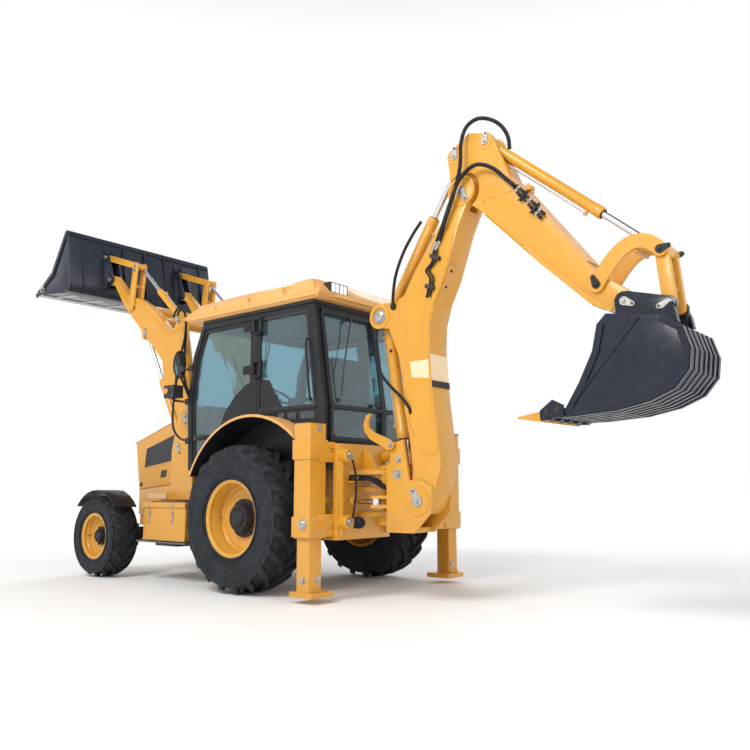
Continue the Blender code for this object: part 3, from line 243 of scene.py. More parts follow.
def moulded(name, base, grain=0.3, roughness=0.55):
    m = Nodes(name)
    body = m.mix(m.ramp(m.noise(7.0, 4.0), 0.35, 0.7), base,
                 colour(*(1.5 * c + 0.004 for c in base[:3])))
    body = m.mix(m.math("MULTIPLY", m.edges(), 0.25), body, colour(0.12, 0.12, 0.12))
    m.set(Base_Color=body, Roughness=m.ramp(m.noise(25.0, 4.0), 0.3, 0.7, roughness - 0.08,
                                            roughness + 0.12))
    m.bump(m.noise(520.0, 3.0), grain, 0.0008)
    return m.material


def woven(name, base, thread):
    """Seat cloth: two crossed sets of threads with a light fuzz."""
    m = Nodes(name)
    waves = []
    for direction in ("X", "Y"):
        wave = m.tree.nodes.new("ShaderNodeTexWave")
        wave.bands_direction = direction
        m.put(wave.inputs["Vector"], m.place)
        wave.inputs["Scale"].default_value = 130.0
        wave.inputs["Distortion"].default_value = 0.6
        waves.append(wave.outputs["Fac"])
    weave = m.math("MULTIPLY", *waves)
    m.set(Base_Color=m.mix(weave, base, thread), Roughness=0.88, Sheen_Weight=0.3,
          Sheen_Roughness=0.4)
    m.bump(weave, 0.5, 0.0012)
    return m.material


PAINT = painted("yellow_enamel", colour(0.63, 0.290, 0.018), colour(0.68, 0.322, 0.024), 0.36, 0.3,
                0.30, 0.15)
# a paler copy of the yellow enamel: painted highlight on faces that look up to the light (roof,
# rear mudguards, fender lip and shelf, the dipper's top flange)
TOP_LIT_PAINT = painted("top_lit_enamel", colour(0.70, 0.355, 0.095), colour(0.74, 0.39, 0.12), 0.42, 0.2,
               0.15, 0.12)
PLATFORM = painted("platform_enamel", colour(0.80, 0.52, 0.24), colour(0.74, 0.46, 0.20), 0.5,
                   0.1, 0.4, 0.6)
SCOOP_PAINT = painted("bucket_enamel", colour(0.006, 0.010, 0.022), colour(0.010, 0.015, 0.030),
                      0.24, 0.12, 0.05, 0.02, 0.35)
BLACK = painted("black_enamel", colour(0.010, 0.011, 0.014), colour(0.017, 0.018, 0.022), 0.36,
                0.0, 0.04, 0.03, 0.3)
RUBBER = rubber("tyre_rubber_worn", colour(0.012, 0.016, 0.022), colour(0.022, 0.027, 0.034), 0.2)
HOSE = rubber("hose_rubber", colour(0.010, 0.011, 0.013), colour(0.018, 0.019, 0.022), 0.15)
CHROME = chromed("chrome_rod")
CASTING = bare_metal("dark_casting", colour(0.045, 0.045, 0.05), colour(0.085, 0.08, 0.075), 0.5)
ZINC = bare_metal("zinc_plate", colour(0.52, 0.51, 0.48), colour(0.40, 0.39, 0.38), 0.33)
EDGE_STEEL = bare_metal("worn_edge", colour(0.46, 0.43, 0.38), colour(0.26, 0.23, 0.20), 0.4)
GLASS = glass("cab_glass_tinted", colour(0.36, 0.58, 0.66))
PLASTIC = moulded("black_plastic", colour(0.014, 0.014, 0.016))
GREY_PLASTIC = moulded("grey_plastic", colour(0.10, 0.10, 0.105))
CLOTH = woven("seat_cloth", colour(0.018, 0.018, 0.022), colour(0.065, 0.066, 0.075))
VINYL = moulded("seat_vinyl_grained", colour(0.020, 0.020, 0.022), 0.6, 0.5)
WHITE_LENS = lens("work_light_lens", colour(0.88, 0.89, 0.92), 0.5)
RED_LENS = lens("tail_lens", colour(0.30, 0.012, 0.02))
ORANGE_LENS = lens("turn_lens", colour(0.85, 0.28, 0.02), 0.15)
MIRROR = Nodes("mirror_glass")
MIRROR.set(Base_Color=colour(0.80, 0.84, 0.86), Metallic=1.0,
           Roughness=MIRROR.ramp(MIRROR.noise(12.0), 0.3, 0.7, 0.02, 0.05))
MIRROR = MIRROR.material
REFLECTOR = painted("reflector_patch", colour(0.86, 0.66, 0.40), colour(0.80, 0.60, 0.36), 0.3,
                    0.4, 0.1, 0.1)


def mesh_vent(name):
    """Pressed steel mesh over an opening, with painted shade: its holes are near-black for the
    unlit space behind.
    """
    m = Nodes(name)
    cells = m.tree.nodes.new("ShaderNodeTexVoronoi")
    m.put(cells.inputs["Vector"], m.place)
    cells.inputs["Scale"].default_value = 95.0
    holes = m.ramp(cells.outputs["Distance"], 0.25, 0.42)
    # the holes are painted near-black: painted shade of the space behind the mesh
    m.set(Base_Color=m.mix(holes, colour(0.002, 0.002, 0.003), colour(0.045, 0.05, 0.06)),
          Metallic=0.3, Roughness=0.5)
    m.bump(holes, 0.8, 0.002)
    return m.material


VENT = mesh_vent("vent_mesh")


# ---------------------------------------------------------------- mesh building
class Shape:
    """Gathers solids of several materials into one mesh."""

    def __init__(self):
        self.vertices = []
        self.faces = []
        self.slots = []
        self.smooth = []
        self.materials = []

    def add(self, vertices, faces, material, smooth=False):
        if material not in self.materials:
            self.materials.append(material)
        slot = self.materials.index(material)
        start = len(self.vertices)
        self.vertices += [Vector(v) for v in vertices]
        for face in faces:
            self.faces.append([start + i for i in face])
            self.slots.append(slot)
            self.smooth.append(smooth)
        return self

    def prism(self, outline, depth, material):
        """A solid between a closed outline of points and the same outline moved by depth."""
        near = [Vector(p) for p in outline]
        far = [p + Vector(depth) for p in near]
        n = len(near)
        normal = Vector((0.0, 0.0, 0.0))
        for i in range(n):
            a, b = near[i], near[(i + 1) % n]
            normal += a.cross(b)
        flip = normal.dot(Vector(depth)) > 0
        sides = [(i, (i + 1) % n, n + (i + 1) % n, n + i) for i in range(n)]
        caps = [tuple(reversed(range(n))), tuple(range(n, 2 * n))]
        faces = sides + caps
        if not flip:
            faces = [tuple(reversed(f)) for f in faces]
        return self.add(near + far, faces, material)

    def plate(self, outline, y0, y1, material):
        return self.prism([at(x, y0, z) for x, z in outline], (0, y1 - y0, 0), material)

    def level(self, outline, z0, z1, material):
        return self.prism([at(x, y, z0) for x, y in outline], (0, 0, z1 - z0), material)

    def cross(self, outline, x0, x1, material):
        return self.prism([at(x0, y, z) for y, z in outline], (x1 - x0, 0, 0), material)

    def box(self, xs, ys, zs, material):
        ys = sorted(ys)
        return self.level([(xs[0], ys[0]), (xs[1], ys[0]), (xs[1], ys[1]), (xs[0], ys[1])],
                          zs[0], zs[1], material)

    def turned(self, profile, centre, axis, material, sides=40, smooth=True):
        """A solid of revolution: (radius, distance along the axis) from end to end."""
        axis = Vector(axis).normalized()
        turn = axis.to_track_quat("Z", "Y").to_matrix()
        vertices = []
        faces = []
        n = len(profile)
        for i in range(sides):
            angle = 2 * math.pi * i / sides
            for radius, along in profile:
                offset = Vector((radius * math.cos(angle), radius * math.sin(angle), along))
                vertices.append(Vector(centre) + turn @ offset)
        for i in range(sides):
            j = (i + 1) % sides
            for k in range(n - 1):
                quad = [i * n + k, j * n + k, j * n + k + 1, i * n + k + 1]
                if profile[k][0] < 1e-6:
                    quad.pop(1)
                elif profile[k + 1][0] < 1e-6:
                    quad.pop(2)
                faces.append(quad)
        return self.add(vertices, faces, material, smooth)

    def rod(self, a, b, radius, material, sides=24, bevel=0.0):
        a, b = Vector(a), Vector(b)
        length = (b - a).length
        soft = min(bevel, 0.4 * radius, 0.4 * length)
        profile = [(0.0, 0.0), (radius - soft, 0.0), (radius, soft), (radius, length - soft),
                   (radius - soft, length), (0.0, length)]
        if soft == 0.0:
            profile = [(0.0, 0.0), (radius, 0.0), (radius, length), (0.0, length)]
        return self.turned(profile, a, b - a, material, sides)

    def bolt(self, place, axis, radius, material=None, washer=True):
        """A hexagon head on a washer, standing out of a face along axis."""
        material = material or ZINC
        axis = Vector(axis).normalized()
        place = Vector(place)
        if washer:
            self.rod(place - 0.002 * axis, place + 0.003 * axis, 1.5 * radius, material, 16)
        self.turned([(0.0, 0.0), (radius, 0.0), (radius, 0.55 * radius),
                     (0.85 * radius, 0.7 * radius), (0.0, 0.7 * radius)],
                    place + 0.003 * axis, axis, material, 6, False)
        return self

    def pin(self, place, axis, radius, material=None, cap=None):
        """A pin's end: a turned collar, the pin's chamfered end and a keeper bolt."""
        place = Vector(place)
        axis = Vector(axis).normalized()
        self.turned([(0.0, 0.0), (1.35 * radius, 0.0), (1.35 * radius, 0.006),
                     (1.25 * radius, 0.011), (radius, 0.011), (radius, 0.02),
                     (0.8 * radius, 0.026), (0.35 * radius, 0.026), (0.3 * radius, 0.02),
                     (0.0, 0.02)], place - 0.002 * axis, axis, material or ZINC, 28)
        if cap:
            self.turned([(0.0, 0.0), (0.55 * radius, 0.0), (0.5 * radius, 0.01),
                         (0.0, 0.014)], place + 0.018 * axis, axis, cap, 20)
        return self

    def hose(self, route, radius, material=None, sides=10, per=7):
        """A round hose on a smooth curve through the route's points."""
        points = [Vector(p) for p in route]
        ends = [2 * points[0] - points[1]] + points + [2 * points[-1] - points[-2]]
        curve = []
        for i in range(1, len(ends) - 2):
            a, b, c, d = ends[i - 1:i + 3]
            for step in range(per):
                t = step / per
                curve.append(0.5 * ((2 * b) + (c - a) * t + (2 * a - 5 * b + 4 * c - d) * t * t
                                    + (3 * b - a - 3 * c + d) * t ** 3))
        curve.append(points[-1])
        vertices = []
        side = Vector((0.0, 1.0, 0.0))
        for i, point in enumerate(curve):
            ahead = (curve[min(i + 1, len(curve) - 1)] - curve[max(i - 1, 0)]).normalized()
            side = (side - ahead * side.dot(ahead))
            if side.length < 1e-4:
                side = ahead.orthogonal()
            side.normalize()
            up = ahead.cross(side)
            for k in range(sides):
                angle = 2 * math.pi * k / sides
                vertices.append(point + radius * (side * math.cos(angle) + up * math.sin(angle)))
        faces = []
        for i in range(len(curve) - 1):
            for k in range(sides):
                j = (k + 1) % sides
                faces.append((i * sides + k, i * sides + j, (i + 1) * sides + j,
                              (i + 1) * sides + k))
        last = (len(curve) - 1) * sides
        faces.append(tuple(reversed(range(sides))))
        faces.append(tuple(range(last, last + sides)))
        return self.add(vertices, faces, material or HOSE, True)

    def grid(self, rows, material, closed=False, smooth=True):
        """A sheet through rows of points with the same count."""
        n = len(rows[0])
        vertices = [p for row in rows for p in row]
        faces = []
        for i in range(len(rows) - 1):
            for k in range(n if closed else n - 1):
                j = (k + 1) % n
                faces.append((i * n + k, i * n + j, (i + 1) * n + j, (i + 1) * n + k))
        return self.add(vertices, faces, material, smooth)

    def pane(self, rows, thickness, material):
        """A closed sheet of glass through rows of points, as thick as it says towards +Y."""
        n = len(rows[0])
        front = [p for row in rows for p in row]
        back = [p + Vector((0.0, thickness, 0.0)) for p in front]
        size = len(front)
        faces = []
        for i in range(len(rows) - 1):
            for k in range(n - 1):
                a = i * n + k
                faces.append((a, a + 1, a + n + 1, a + n))
                faces.append((size + a, size + a + n, size + a + n + 1, size + a + 1))
        edge = (list(range(n)) + [i * n + n - 1 for i in range(1, len(rows))]
                + [size - 2 - k for k in range(n - 1)]
                + [i * n for i in range(len(rows) - 2, 0, -1)])
        for a, b in zip(edge, edge[1:] + edge[:1]):
            faces.append((b, a, size + a, size + b))
        return self.add(front + back, faces, material, True)

    def make(self, name, body, slot=None, bevel=0.0, replaces=(), angle=38.0):
        mesh = bpy.data.meshes.new(name)
        mesh.from_pydata(self.vertices, [], self.faces)
        for material in self.materials:
            mesh.materials.append(material)
        mesh.polygons.foreach_set("material_index", self.slots)
        mesh.polygons.foreach_set("use_smooth", [True] * len(self.faces))
        mesh.update()
        mesh.validate()
        obj = bpy.data.objects.new(name, mesh)
        bpy.context.scene.collection.objects.link(obj)
        crisp(obj, bevel, angle)
        if body:
            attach(obj, body)
        if replaces:
            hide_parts(*replaces)
        return obj


def crisp(obj, bevel, angle=38.0):
    """Rounds the hard edges a little, and keeps every edge sharper than the angle sharp."""
    if bevel > 0.0:
        modifier = obj.modifiers.new("edges", "BEVEL")
        modifier.width = bevel
        modifier.segments = 2
        modifier.limit_method = "ANGLE"
        modifier.angle_limit = math.radians(angle)
        modifier.use_clamp_overlap = True
        modifier.harden_normals = True
    else:
        mesh = obj.data
        mesh.set_sharp_from_angle(angle=math.radians(angle))


def arc(centre, radius, start, end, steps):
    return [(centre[0] + radius * math.cos(math.radians(start + (end - start) * i / steps)),
             centre[1] + radius * math.sin(math.radians(start + (end - start) * i / steps)))
            for i in range(steps + 1)]


def crossing(shape, name, body_a, body_b, start, end):
    """Makes the hose as one piece that is attached to no body; body_a, body_b, start and end are
    not used.
    """
    piece = shape.make(name, None, "tyre_rubber", 0.0, (), 60)
    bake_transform(piece)


def along(start, end, distance):
    run = (Vector(end) - Vector(start)).normalized()
    return (start[0] + run.x * distance, start[1] + run.y * distance)


FLAT = 1.0  # degrees between faces that count as one


def wear_in(node, material, bevel=0.004):
    """A CAD node keeps its shape and gets its finish and softened edges."""
    obj = NODES[node]
    obj.data.materials.clear()
    obj.data.materials.append(material)
    if bevel > 0.0:
        weld = obj.modifiers.new("weld", "WELD")
        weld.merge_threshold = 0.00005
        merge = obj.modifiers.new("merge", "DECIMATE")
        merge.decimate_type = "DISSOLVE"
        merge.angle_limit = math.radians(FLAT)
        obj.data.polygons.foreach_set("use_smooth", [True] * len(obj.data.polygons))
        crisp(obj, bevel, 30.0)


# ---------------------------------------------------------------- wheels
def tyre(name, node, body, sizes):
    """An industrial tyre: a turned carcass with two rows of slanted lugs."""
    x, y, axle_z, half, rim_radius, lugs, depth = sizes
    centre = at(x, y, axle_z)
    tread = axle_z - depth
    shape = Shape()
    profile = [(rim_radius, -0.80 * half), (rim_radius + 0.012, -0.90 * half),
               (rim_radius + 0.10 * (axle_z - rim_radius), -0.955 * half),
               (0.55 * axle_z + 0.45 * rim_radius, -half),
               (0.80 * axle_z + 0.20 * rim_radius, -0.975 * half),
               (tread - 0.028, -0.90 * half), (tread - 0.008, -0.78 * half),
               (tread, -0.50 * half), (tread + 0.003, 0.0)]
    profile += [(r, -t) for r, t in reversed(profile[:-1])]
    shape.turned(profile, centre, (0, 1, 0), RUBBER, 96)
    stations = [(0.03, axle_z, 0.0), (0.30, axle_z - 0.001, 0.35), (0.62, axle_z - 0.006, 0.78),
                (0.86, axle_z - 0.022, 1.0), (0.965, axle_z - 0.055, 1.04),
                (0.99, axle_z - 0.095, 1.05)]
    roots = [tread - 0.004, tread - 0.006, tread - 0.012, tread - 0.030, tread - 0.066,
             axle_z - 0.125]
    pitch = 2 * math.pi / lugs
    sweep = 0.95 * pitch
    thick = 0.30 * pitch
    for i in range(lugs):
        for side in (-1, 1):
            start = i * pitch + (0.5 * pitch if side > 0 else 0.0)
            vertices = []
            for (share, top, lean), root in zip(stations, roots):
                angle = start + lean * sweep
                width = thick * (0.80 + 0.35 * lean)
                for r, spread in ((root, 0.62), (top, 0.44), (top, -0.44), (root, -0.62)):
                    a = angle + spread * width
                    vertices.append(centre + Vector((r * math.sin(a), side * share * half,
                                                     r * math.cos(a))))
            faces = []
            for k in range(len(stations) - 1):
                for m in range(3):
                    a, b = 4 * k + m, 4 * k + m + 1
                    faces.append((a, b, b + 4, a + 4))
                faces.append((4 * k + 3, 4 * k, 4 * k + 4, 4 * k + 7))
            last = 4 * (len(stations) - 1)
            faces += [(3, 2, 1, 0), (last, last + 1, last + 2, last + 3)]
            if side < 0:
                faces = [tuple(reversed(f)) for f in faces]
            shape.add(vertices, faces, RUBBER)
    # a raised bead guard and a mould line on each side wall
    for side in (-1, 1):
        for r, height in ((rim_radius + 0.035, 0.006), (0.62 * axle_z + 0.38 * rim_radius, 0.004)):
            t = side * 0.985 * half
            ring = [(r - 0.008, t - side * 0.012), (r - 0.004, t + side * height),
                    (r + 0.004, t + side * height), (r + 0.008, t - side * 0.012)]
            if side > 0:
                ring.reverse()
            shape.turned(ring + ring[:1], centre, (0, 1, 0), RUBBER, 72)
    return shape.make(name, body, "tyre_rubber", 0.0, [node], 42)


def rim(name, node, body, sizes):
    """A pressed dish with a rolled flange, a dark hub and its ring of wheel nuts."""
    x, y, axle_z, side, radius, half, disc, hub_radius, hub_face, nuts = sizes
    centre = at(x, y, axle_z)
    axis = (0, side, 0)
    shape = Shape()
    shell = 0.014
    dish = [(0.98 * hub_radius, disc + 0.004), (1.25 * hub_radius, disc + 0.004),
            (radius - 0.085, disc + 0.022), (radius - 0.055, disc + 0.018),
            (radius - 0.038, disc + 0.03), (radius - 0.034, 0.62 * half),
            (radius - 0.022, 0.72 * half), (radius - 0.020, 0.93 * half),
            (radius - 0.006, 0.985 * half), (radius + 0.010, 1.0 * half),
            (radius + 0.012, 0.96 * half), (radius - 0.002, 0.90 * half)]
    back = [(radius - 0.002, -0.90 * half), (radius + 0.010, -half),
            (radius - shell, -0.97 * half), (radius - 0.034, -0.60 * half),
            (radius - 0.045, disc - 0.03), (1.25 * hub_radius, disc - 0.012),
            (0.98 * hub_radius, disc - 0.012)]
    shape.turned(dish + back + dish[:1], centre, axis, PAINT, 72)
    face = 0.7 * hub_face + 0.3 * disc
    hub = [(0.0, disc - 0.12), (0.72 * hub_radius, disc - 0.12), (0.80 * hub_radius, disc),
           (1.08 * hub_radius, disc), (1.08 * hub_radius, disc + 0.022),
           (0.86 * hub_radius, disc + 0.026), (0.80 * hub_radius, face),
           (0.74 * hub_radius, face + 0.012), (0.50 * hub_radius, face + 0.012),
           (0.46 * hub_radius, hub_face - 0.006), (0.40 * hub_radius, hub_face),
           (0.0, hub_face)]
    shape.turned(hub, centre, axis, BLACK, 48)
    for i in range(nuts):
        angle = 2 * math.pi * (i + 0.5) / nuts
        turn = Vector((math.cos(angle), 0.0, math.sin(angle)))
        shape.bolt(centre + 0.97 * hub_radius * turn + side * Vector((0, disc + 0.022, 0)), axis,
                   0.0125, CASTING)
        shape.bolt(centre + 0.62 * hub_radius * turn + side * Vector((0, face + 0.011, 0)), axis,
                   0.008, CASTING, False)
    valve = centre + Vector(((radius - 0.05), side * (disc + 0.03), 0.0))
    shape.rod(valve, valve + Vector((0.0, side * 0.05, 0.0)), 0.006, ZINC, 12)
    return shape.make(name, body, "machine_paint", 0.0, [node], 34)


for word, side in SIDES:
    tyre("tread_rear_" + word, "rear_tyre_" + word, "wheel_rear_" + word,
         (0.0, side * 0.86, REAR_RADIUS, 0.215, 0.325, 20, 0.042))
    rim("dish_rear_" + word, "rear_rim_" + word, "wheel_rear_" + word,
        (0.0, side * 0.86, REAR_RADIUS, side, 0.325, 0.19, 0.02, 0.155, 0.125, 10))
    tyre("tread_front_" + word, "front_tyre_" + word, "wheel_front_" + word,
         (WHEELBASE, side * 0.925, FRONT_RADIUS, 0.15, 0.225, 18, 0.030))
    rim("dish_front_" + word, "front_rim_" + word, "wheel_front_" + word,
        (WHEELBASE, side * 0.925, FRONT_RADIUS, side, 0.225, 0.135, 0.03, 0.085, 0.10, 8))


# ---------------------------------------------------------------- rams
def ram(name, base, eye, planes, sizes, bodies, nodes):
    """Barrels and rods of the rams that work side by side: welded eye, tube, gland and port."""
    radius, rod_radius, barrel_length, rod_length, base_radius, base_half, eye_half, fork = sizes
    barrels = Shape()
    rods = Shape()
    for y in planes:
        start = in_xz(base, y)
        end = in_xz(eye, y)
        run = (end - start).normalized()
        wall = rod_radius + 0.0012
        first = base_radius + 0.015
        gland = barrel_length
        profile = [(0.0, first), (0.80 * radius, first), (0.96 * radius, first + 0.012),
                   (0.96 * radius, first + 0.05), (0.93 * radius, first + 0.054),
                   (0.93 * radius, gland - 0.085), (radius, gland - 0.078),
                   (radius, gland - 0.012), (0.94 * radius, gland - 0.002),
                   (0.70 * radius, gland), (wall, gland), (wall, gland - 0.05)]
        barrels.turned(profile, start, run, PAINT, 40)
        barrels.turned([(1.0 * wall, gland - 0.004), (wall + 0.008, gland - 0.004),
                        (wall + 0.007, gland + 0.006), (wall, gland + 0.007)], start, run,
                       PLASTIC, 32)
        if not fork:
            barrels.rod(start + Vector((0, -base_half, 0)), start + Vector((0, base_half, 0)),
                        base_radius, PAINT, 36, 0.004)
            barrels.rod(start + run * 0.6 * base_radius, start + run * (first + 0.02),
                        0.62 * radius, PAINT, 28)
        up = run.cross(Vector((0, 1, 0)))
        for place in (first + 0.07, gland - 0.12):
            port = start + run * place
            barrels.rod(port + 0.8 * radius * up, port + (radius + 0.022) * up, 0.014, PAINT, 18,
                        0.002)
            barrels.turned([(0.0, 0.0), (0.013, 0.0), (0.013, 0.012), (0.0, 0.012)],
                           port + (radius + 0.022) * up, up, ZINC, 6, False)
        line = radius + 0.012
        barrels.hose([start + run * (first + 0.09) + line * up,
                      start + run * (first + 0.14) + (line + 0.004) * up,
                      start + run * (0.5 * gland) + line * up,
                      start + run * (gland - 0.18) + (line + 0.002) * up,
                      start + run * (gland - 0.12) + (line + 0.008) * up], 0.006, ZINC, 8)
        tip = end - run * (rod_length - 0.004)
        rods.rod(tip, end - run * 0.028, rod_radius, CHROME, 36, 0.003)
        rods.rod(end + Vector((0, -eye_half, 0)), end + Vector((0, eye_half, 0)),
                 rod_radius * 1.75, PAINT, 32, 0.003)
        rods.turned([(0.0, 0.0), (1.28 * rod_radius, 0.0), (1.28 * rod_radius, 0.035),
                     (0.0, 0.035)], end - run * (1.75 * rod_radius + 0.022), run, PAINT, 28)
    barrels.make(name + "_tube", bodies[0], "machine_paint", 0.0, nodes[0], 36)
    rods.make(name + "_shaft", bodies[1], "chrome", 0.0, nodes[1], 36)


def pair(pattern):
    return [pattern % "left", pattern % "right"]


ram("lift_ram", LIFT_BASE, LIFT_ROD_PIN, (ARM_Y, -ARM_Y),
    (0.0415, 0.022, 0.84, 0.92, 0.045, 0.043, 0.0235, False), ("lift_barrels", "lift_rods"),
    (pair("lift_ram_%s_barrel"), pair("lift_ram_%s_rod")))
ram("tilt_ram", TILT_BASE, LEVER_TOP, (0.4875, -0.4875),
    (0.0355, 0.018, 0.60, 0.70, 0.045, 0.0142, 0.0212, False), ("tilt_barrels", "tilt_rods"),
    (pair("tilt_ram_%s_barrel"), pair("tilt_ram_%s_rod")))
ram("boom_ram", BOOM_LUG, BOOM_RAM_FOOT, (DIG_Y,),
    (0.0545, 0.032, 1.04, 1.17, 0.06, 0.0445, 0.0445, False), ("boom_ram_barrel", "boom_ram_rod"),
    (["boom_ram_barrel"], ["boom_ram_rod"]))
ram("scoop_ram", SCOOP_RAM_BASE, ROCKER_TOP, (DIG_Y,),
    (0.0445, 0.025, 1.18, 1.12, 0.055, 0.0541, 0.0592, False),
    ("bucket_ram_barrel", "bucket_ram_rod"), (["bucket_ram_barrel"], ["bucket_ram_rod"]))
ram("dipper_ram", BOOM_LUG, DIPPER_RAM_PIN, (DIG_Y,),
    (0.0495, 0.028, 0.92, 0.87, 0.06, 0.0, 0.0541, True),
    ("dipper_ram_barrel", "dipper_ram_rod"), ((), ["dipper_ram_rod"]))


# ---------------------------------------------------------------- finishes of the CAD pieces
for node in ("chassis_frame", "loader_arms", "boom", "dipper_arm", "kingpost",
             "side_shift_carriage", "rear_frame", "stabiliser_leg_left", "stabiliser_leg_right",
             "tilt_lever_left", "tilt_lever_right", "bucket_link_left", "bucket_link_right",
             "hood", "dipper_ram_barrel", "bucket_tie_link", "toolbox_left", "toolbox_lid",
             "fuel_tank_right"):
    wear_in(node, PAINT)
for node in ("cab_frame", "engine_block", "front_axle", "rear_axle", "steering_knuckle_left",
             "steering_knuckle_right"):
    wear_in(node, CASTING if "axle" in node else BLACK)
for node in ("loader_bucket", "backhoe_bucket"):
    wear_in(node, SCOOP_PAINT, 0.003)
# the roof and the rear mudguards take the paler yellow, a painted highlight
for node in ("rear_fender_left", "rear_fender_right", "cab_roof"):
    wear_in(node, TOP_LIT_PAINT, 0.006)
for node in ("swing_rod_left", "swing_rod_right"):
    wear_in(node, CHROME, 0.0)
for node in ("windscreen", "rear_window"):
    wear_in(node, GLASS, 0.0)


# ---------------------------------------------------------------- cab
FENDER_CENTRE = (-0.12, 0.64)
DOOR_RADIUS = 0.965
PILLAR_X = 0.07


def door_outline(inset):
    low = 1.14 + inset
    radius = DOOR_RADIUS + inset
    first = math.degrees(math.asin((low - FENDER_CENTRE[1]) / radius))
    last = math.degrees(math.acos((PILLAR_X + inset - FENDER_CENTRE[0]) / radius))
    front = 0.925 - inset
    return (arc(FENDER_CENTRE, radius, last, first, 12)
            + [(front, low), (front + 0.022, 1.48), (front + 0.035, 1.75), (front + 0.01, 1.97),
               (front - 0.025, 2.16), (front - 0.085, 2.32), (front - 0.145, 2.46 - inset),
               (PILLAR_X + inset, 2.46 - inset)])


def ring(shape, outer, inner, y0, y1, material):
    """A flat frame between two outlines in X and Z that have the same number of points."""
    n = len(outer)
    loops = [[at(x, y0, z) for x, z in outer], [at(x, y1, z) for x, z in outer],
             [at(x, y1, z) for x, z in inner], [at(x, y0, z) for x, z in inner]]
    vertices = [p for loop in loops for p in loop]
    faces = []
    for k in range(4):
        for i in range(n):
            j = (i + 1) % n
            a, b = k * n, (k + 1) % 4 * n
            faces.append((a + i, a + j, b + j, b + i) if y1 < y0 else (a + j, a + i, b + i, b + j))
    return shape.add(vertices, faces, material)


for word, side in SIDES:
    pane = Shape()
    pane.plate(door_outline(0.030), side * 0.752, side * 0.758, GLASS)
    pane.make("door_glass_" + word, "door_" + word, "cab_glass")
    door = Shape()
    ring(door, door_outline(0.007), door_outline(0.034), side * 0.739, side * 0.771, BLACK)
    ring(door, door_outline(0.032), door_outline(0.040), side * 0.748, side * 0.762, PLASTIC)
    # the black panel that follows the mudguard
    corner = [(0.105, 1.885), (0.19, 1.85), (0.315, 1.771), (0.465, 1.621), (0.55, 1.45),
              (0.63, 1.30)]
    door.plate(corner + arc(FENDER_CENTRE, DOOR_RADIUS + 0.035, 42, 77, 10), side * 0.758,
               side * 0.764, BLACK)
    door.box((0.70, 0.90), (side * 0.760, side * 0.776), (1.37, 1.42), PLASTIC)
    door.hose([at(0.72, side * 0.774, 1.395), at(0.74, side * 0.812, 1.395),
               at(0.80, side * 0.815, 1.395), at(0.86, side * 0.812, 1.395),
               at(0.88, side * 0.774, 1.395)], 0.010, PLASTIC)
    door.rod(at(0.89, side * 0.765, 1.395), at(0.89, side * 0.783, 1.395), 0.014, ZINC, 20, 0.002)
    door.hose([at(0.16, side * 0.735, 1.62), at(0.17, side * 0.700, 1.66),
               at(0.30, side * 0.695, 1.90), at(0.42, side * 0.700, 2.12),
               at(0.43, side * 0.735, 2.15)], 0.011, BLACK)
    for z in (1.94, 2.34):
        door.rod(at(0.03, side * 0.80, z - 0.006), at(0.03, side * 0.80, z + 0.106), 0.019, BLACK,
                 24, 0.004)
        door.box((0.03, 0.155), (side * 0.784, side * 0.814), (z + 0.012, z + 0.088), BLACK)
        door.rod(at(0.155, side * 0.799, z + 0.012), at(0.155, side * 0.799, z + 0.088), 0.015,
                 BLACK, 20, 0.003)
        for x in (0.075, 0.125):
            door.bolt(at(x, side * 0.814, z + 0.05), (0, side, 0), 0.010, CASTING)
    door.make("door_frame_" + word, "door_" + word, "black_paint", 0.003,
              ["cab_door_" + word], 40)

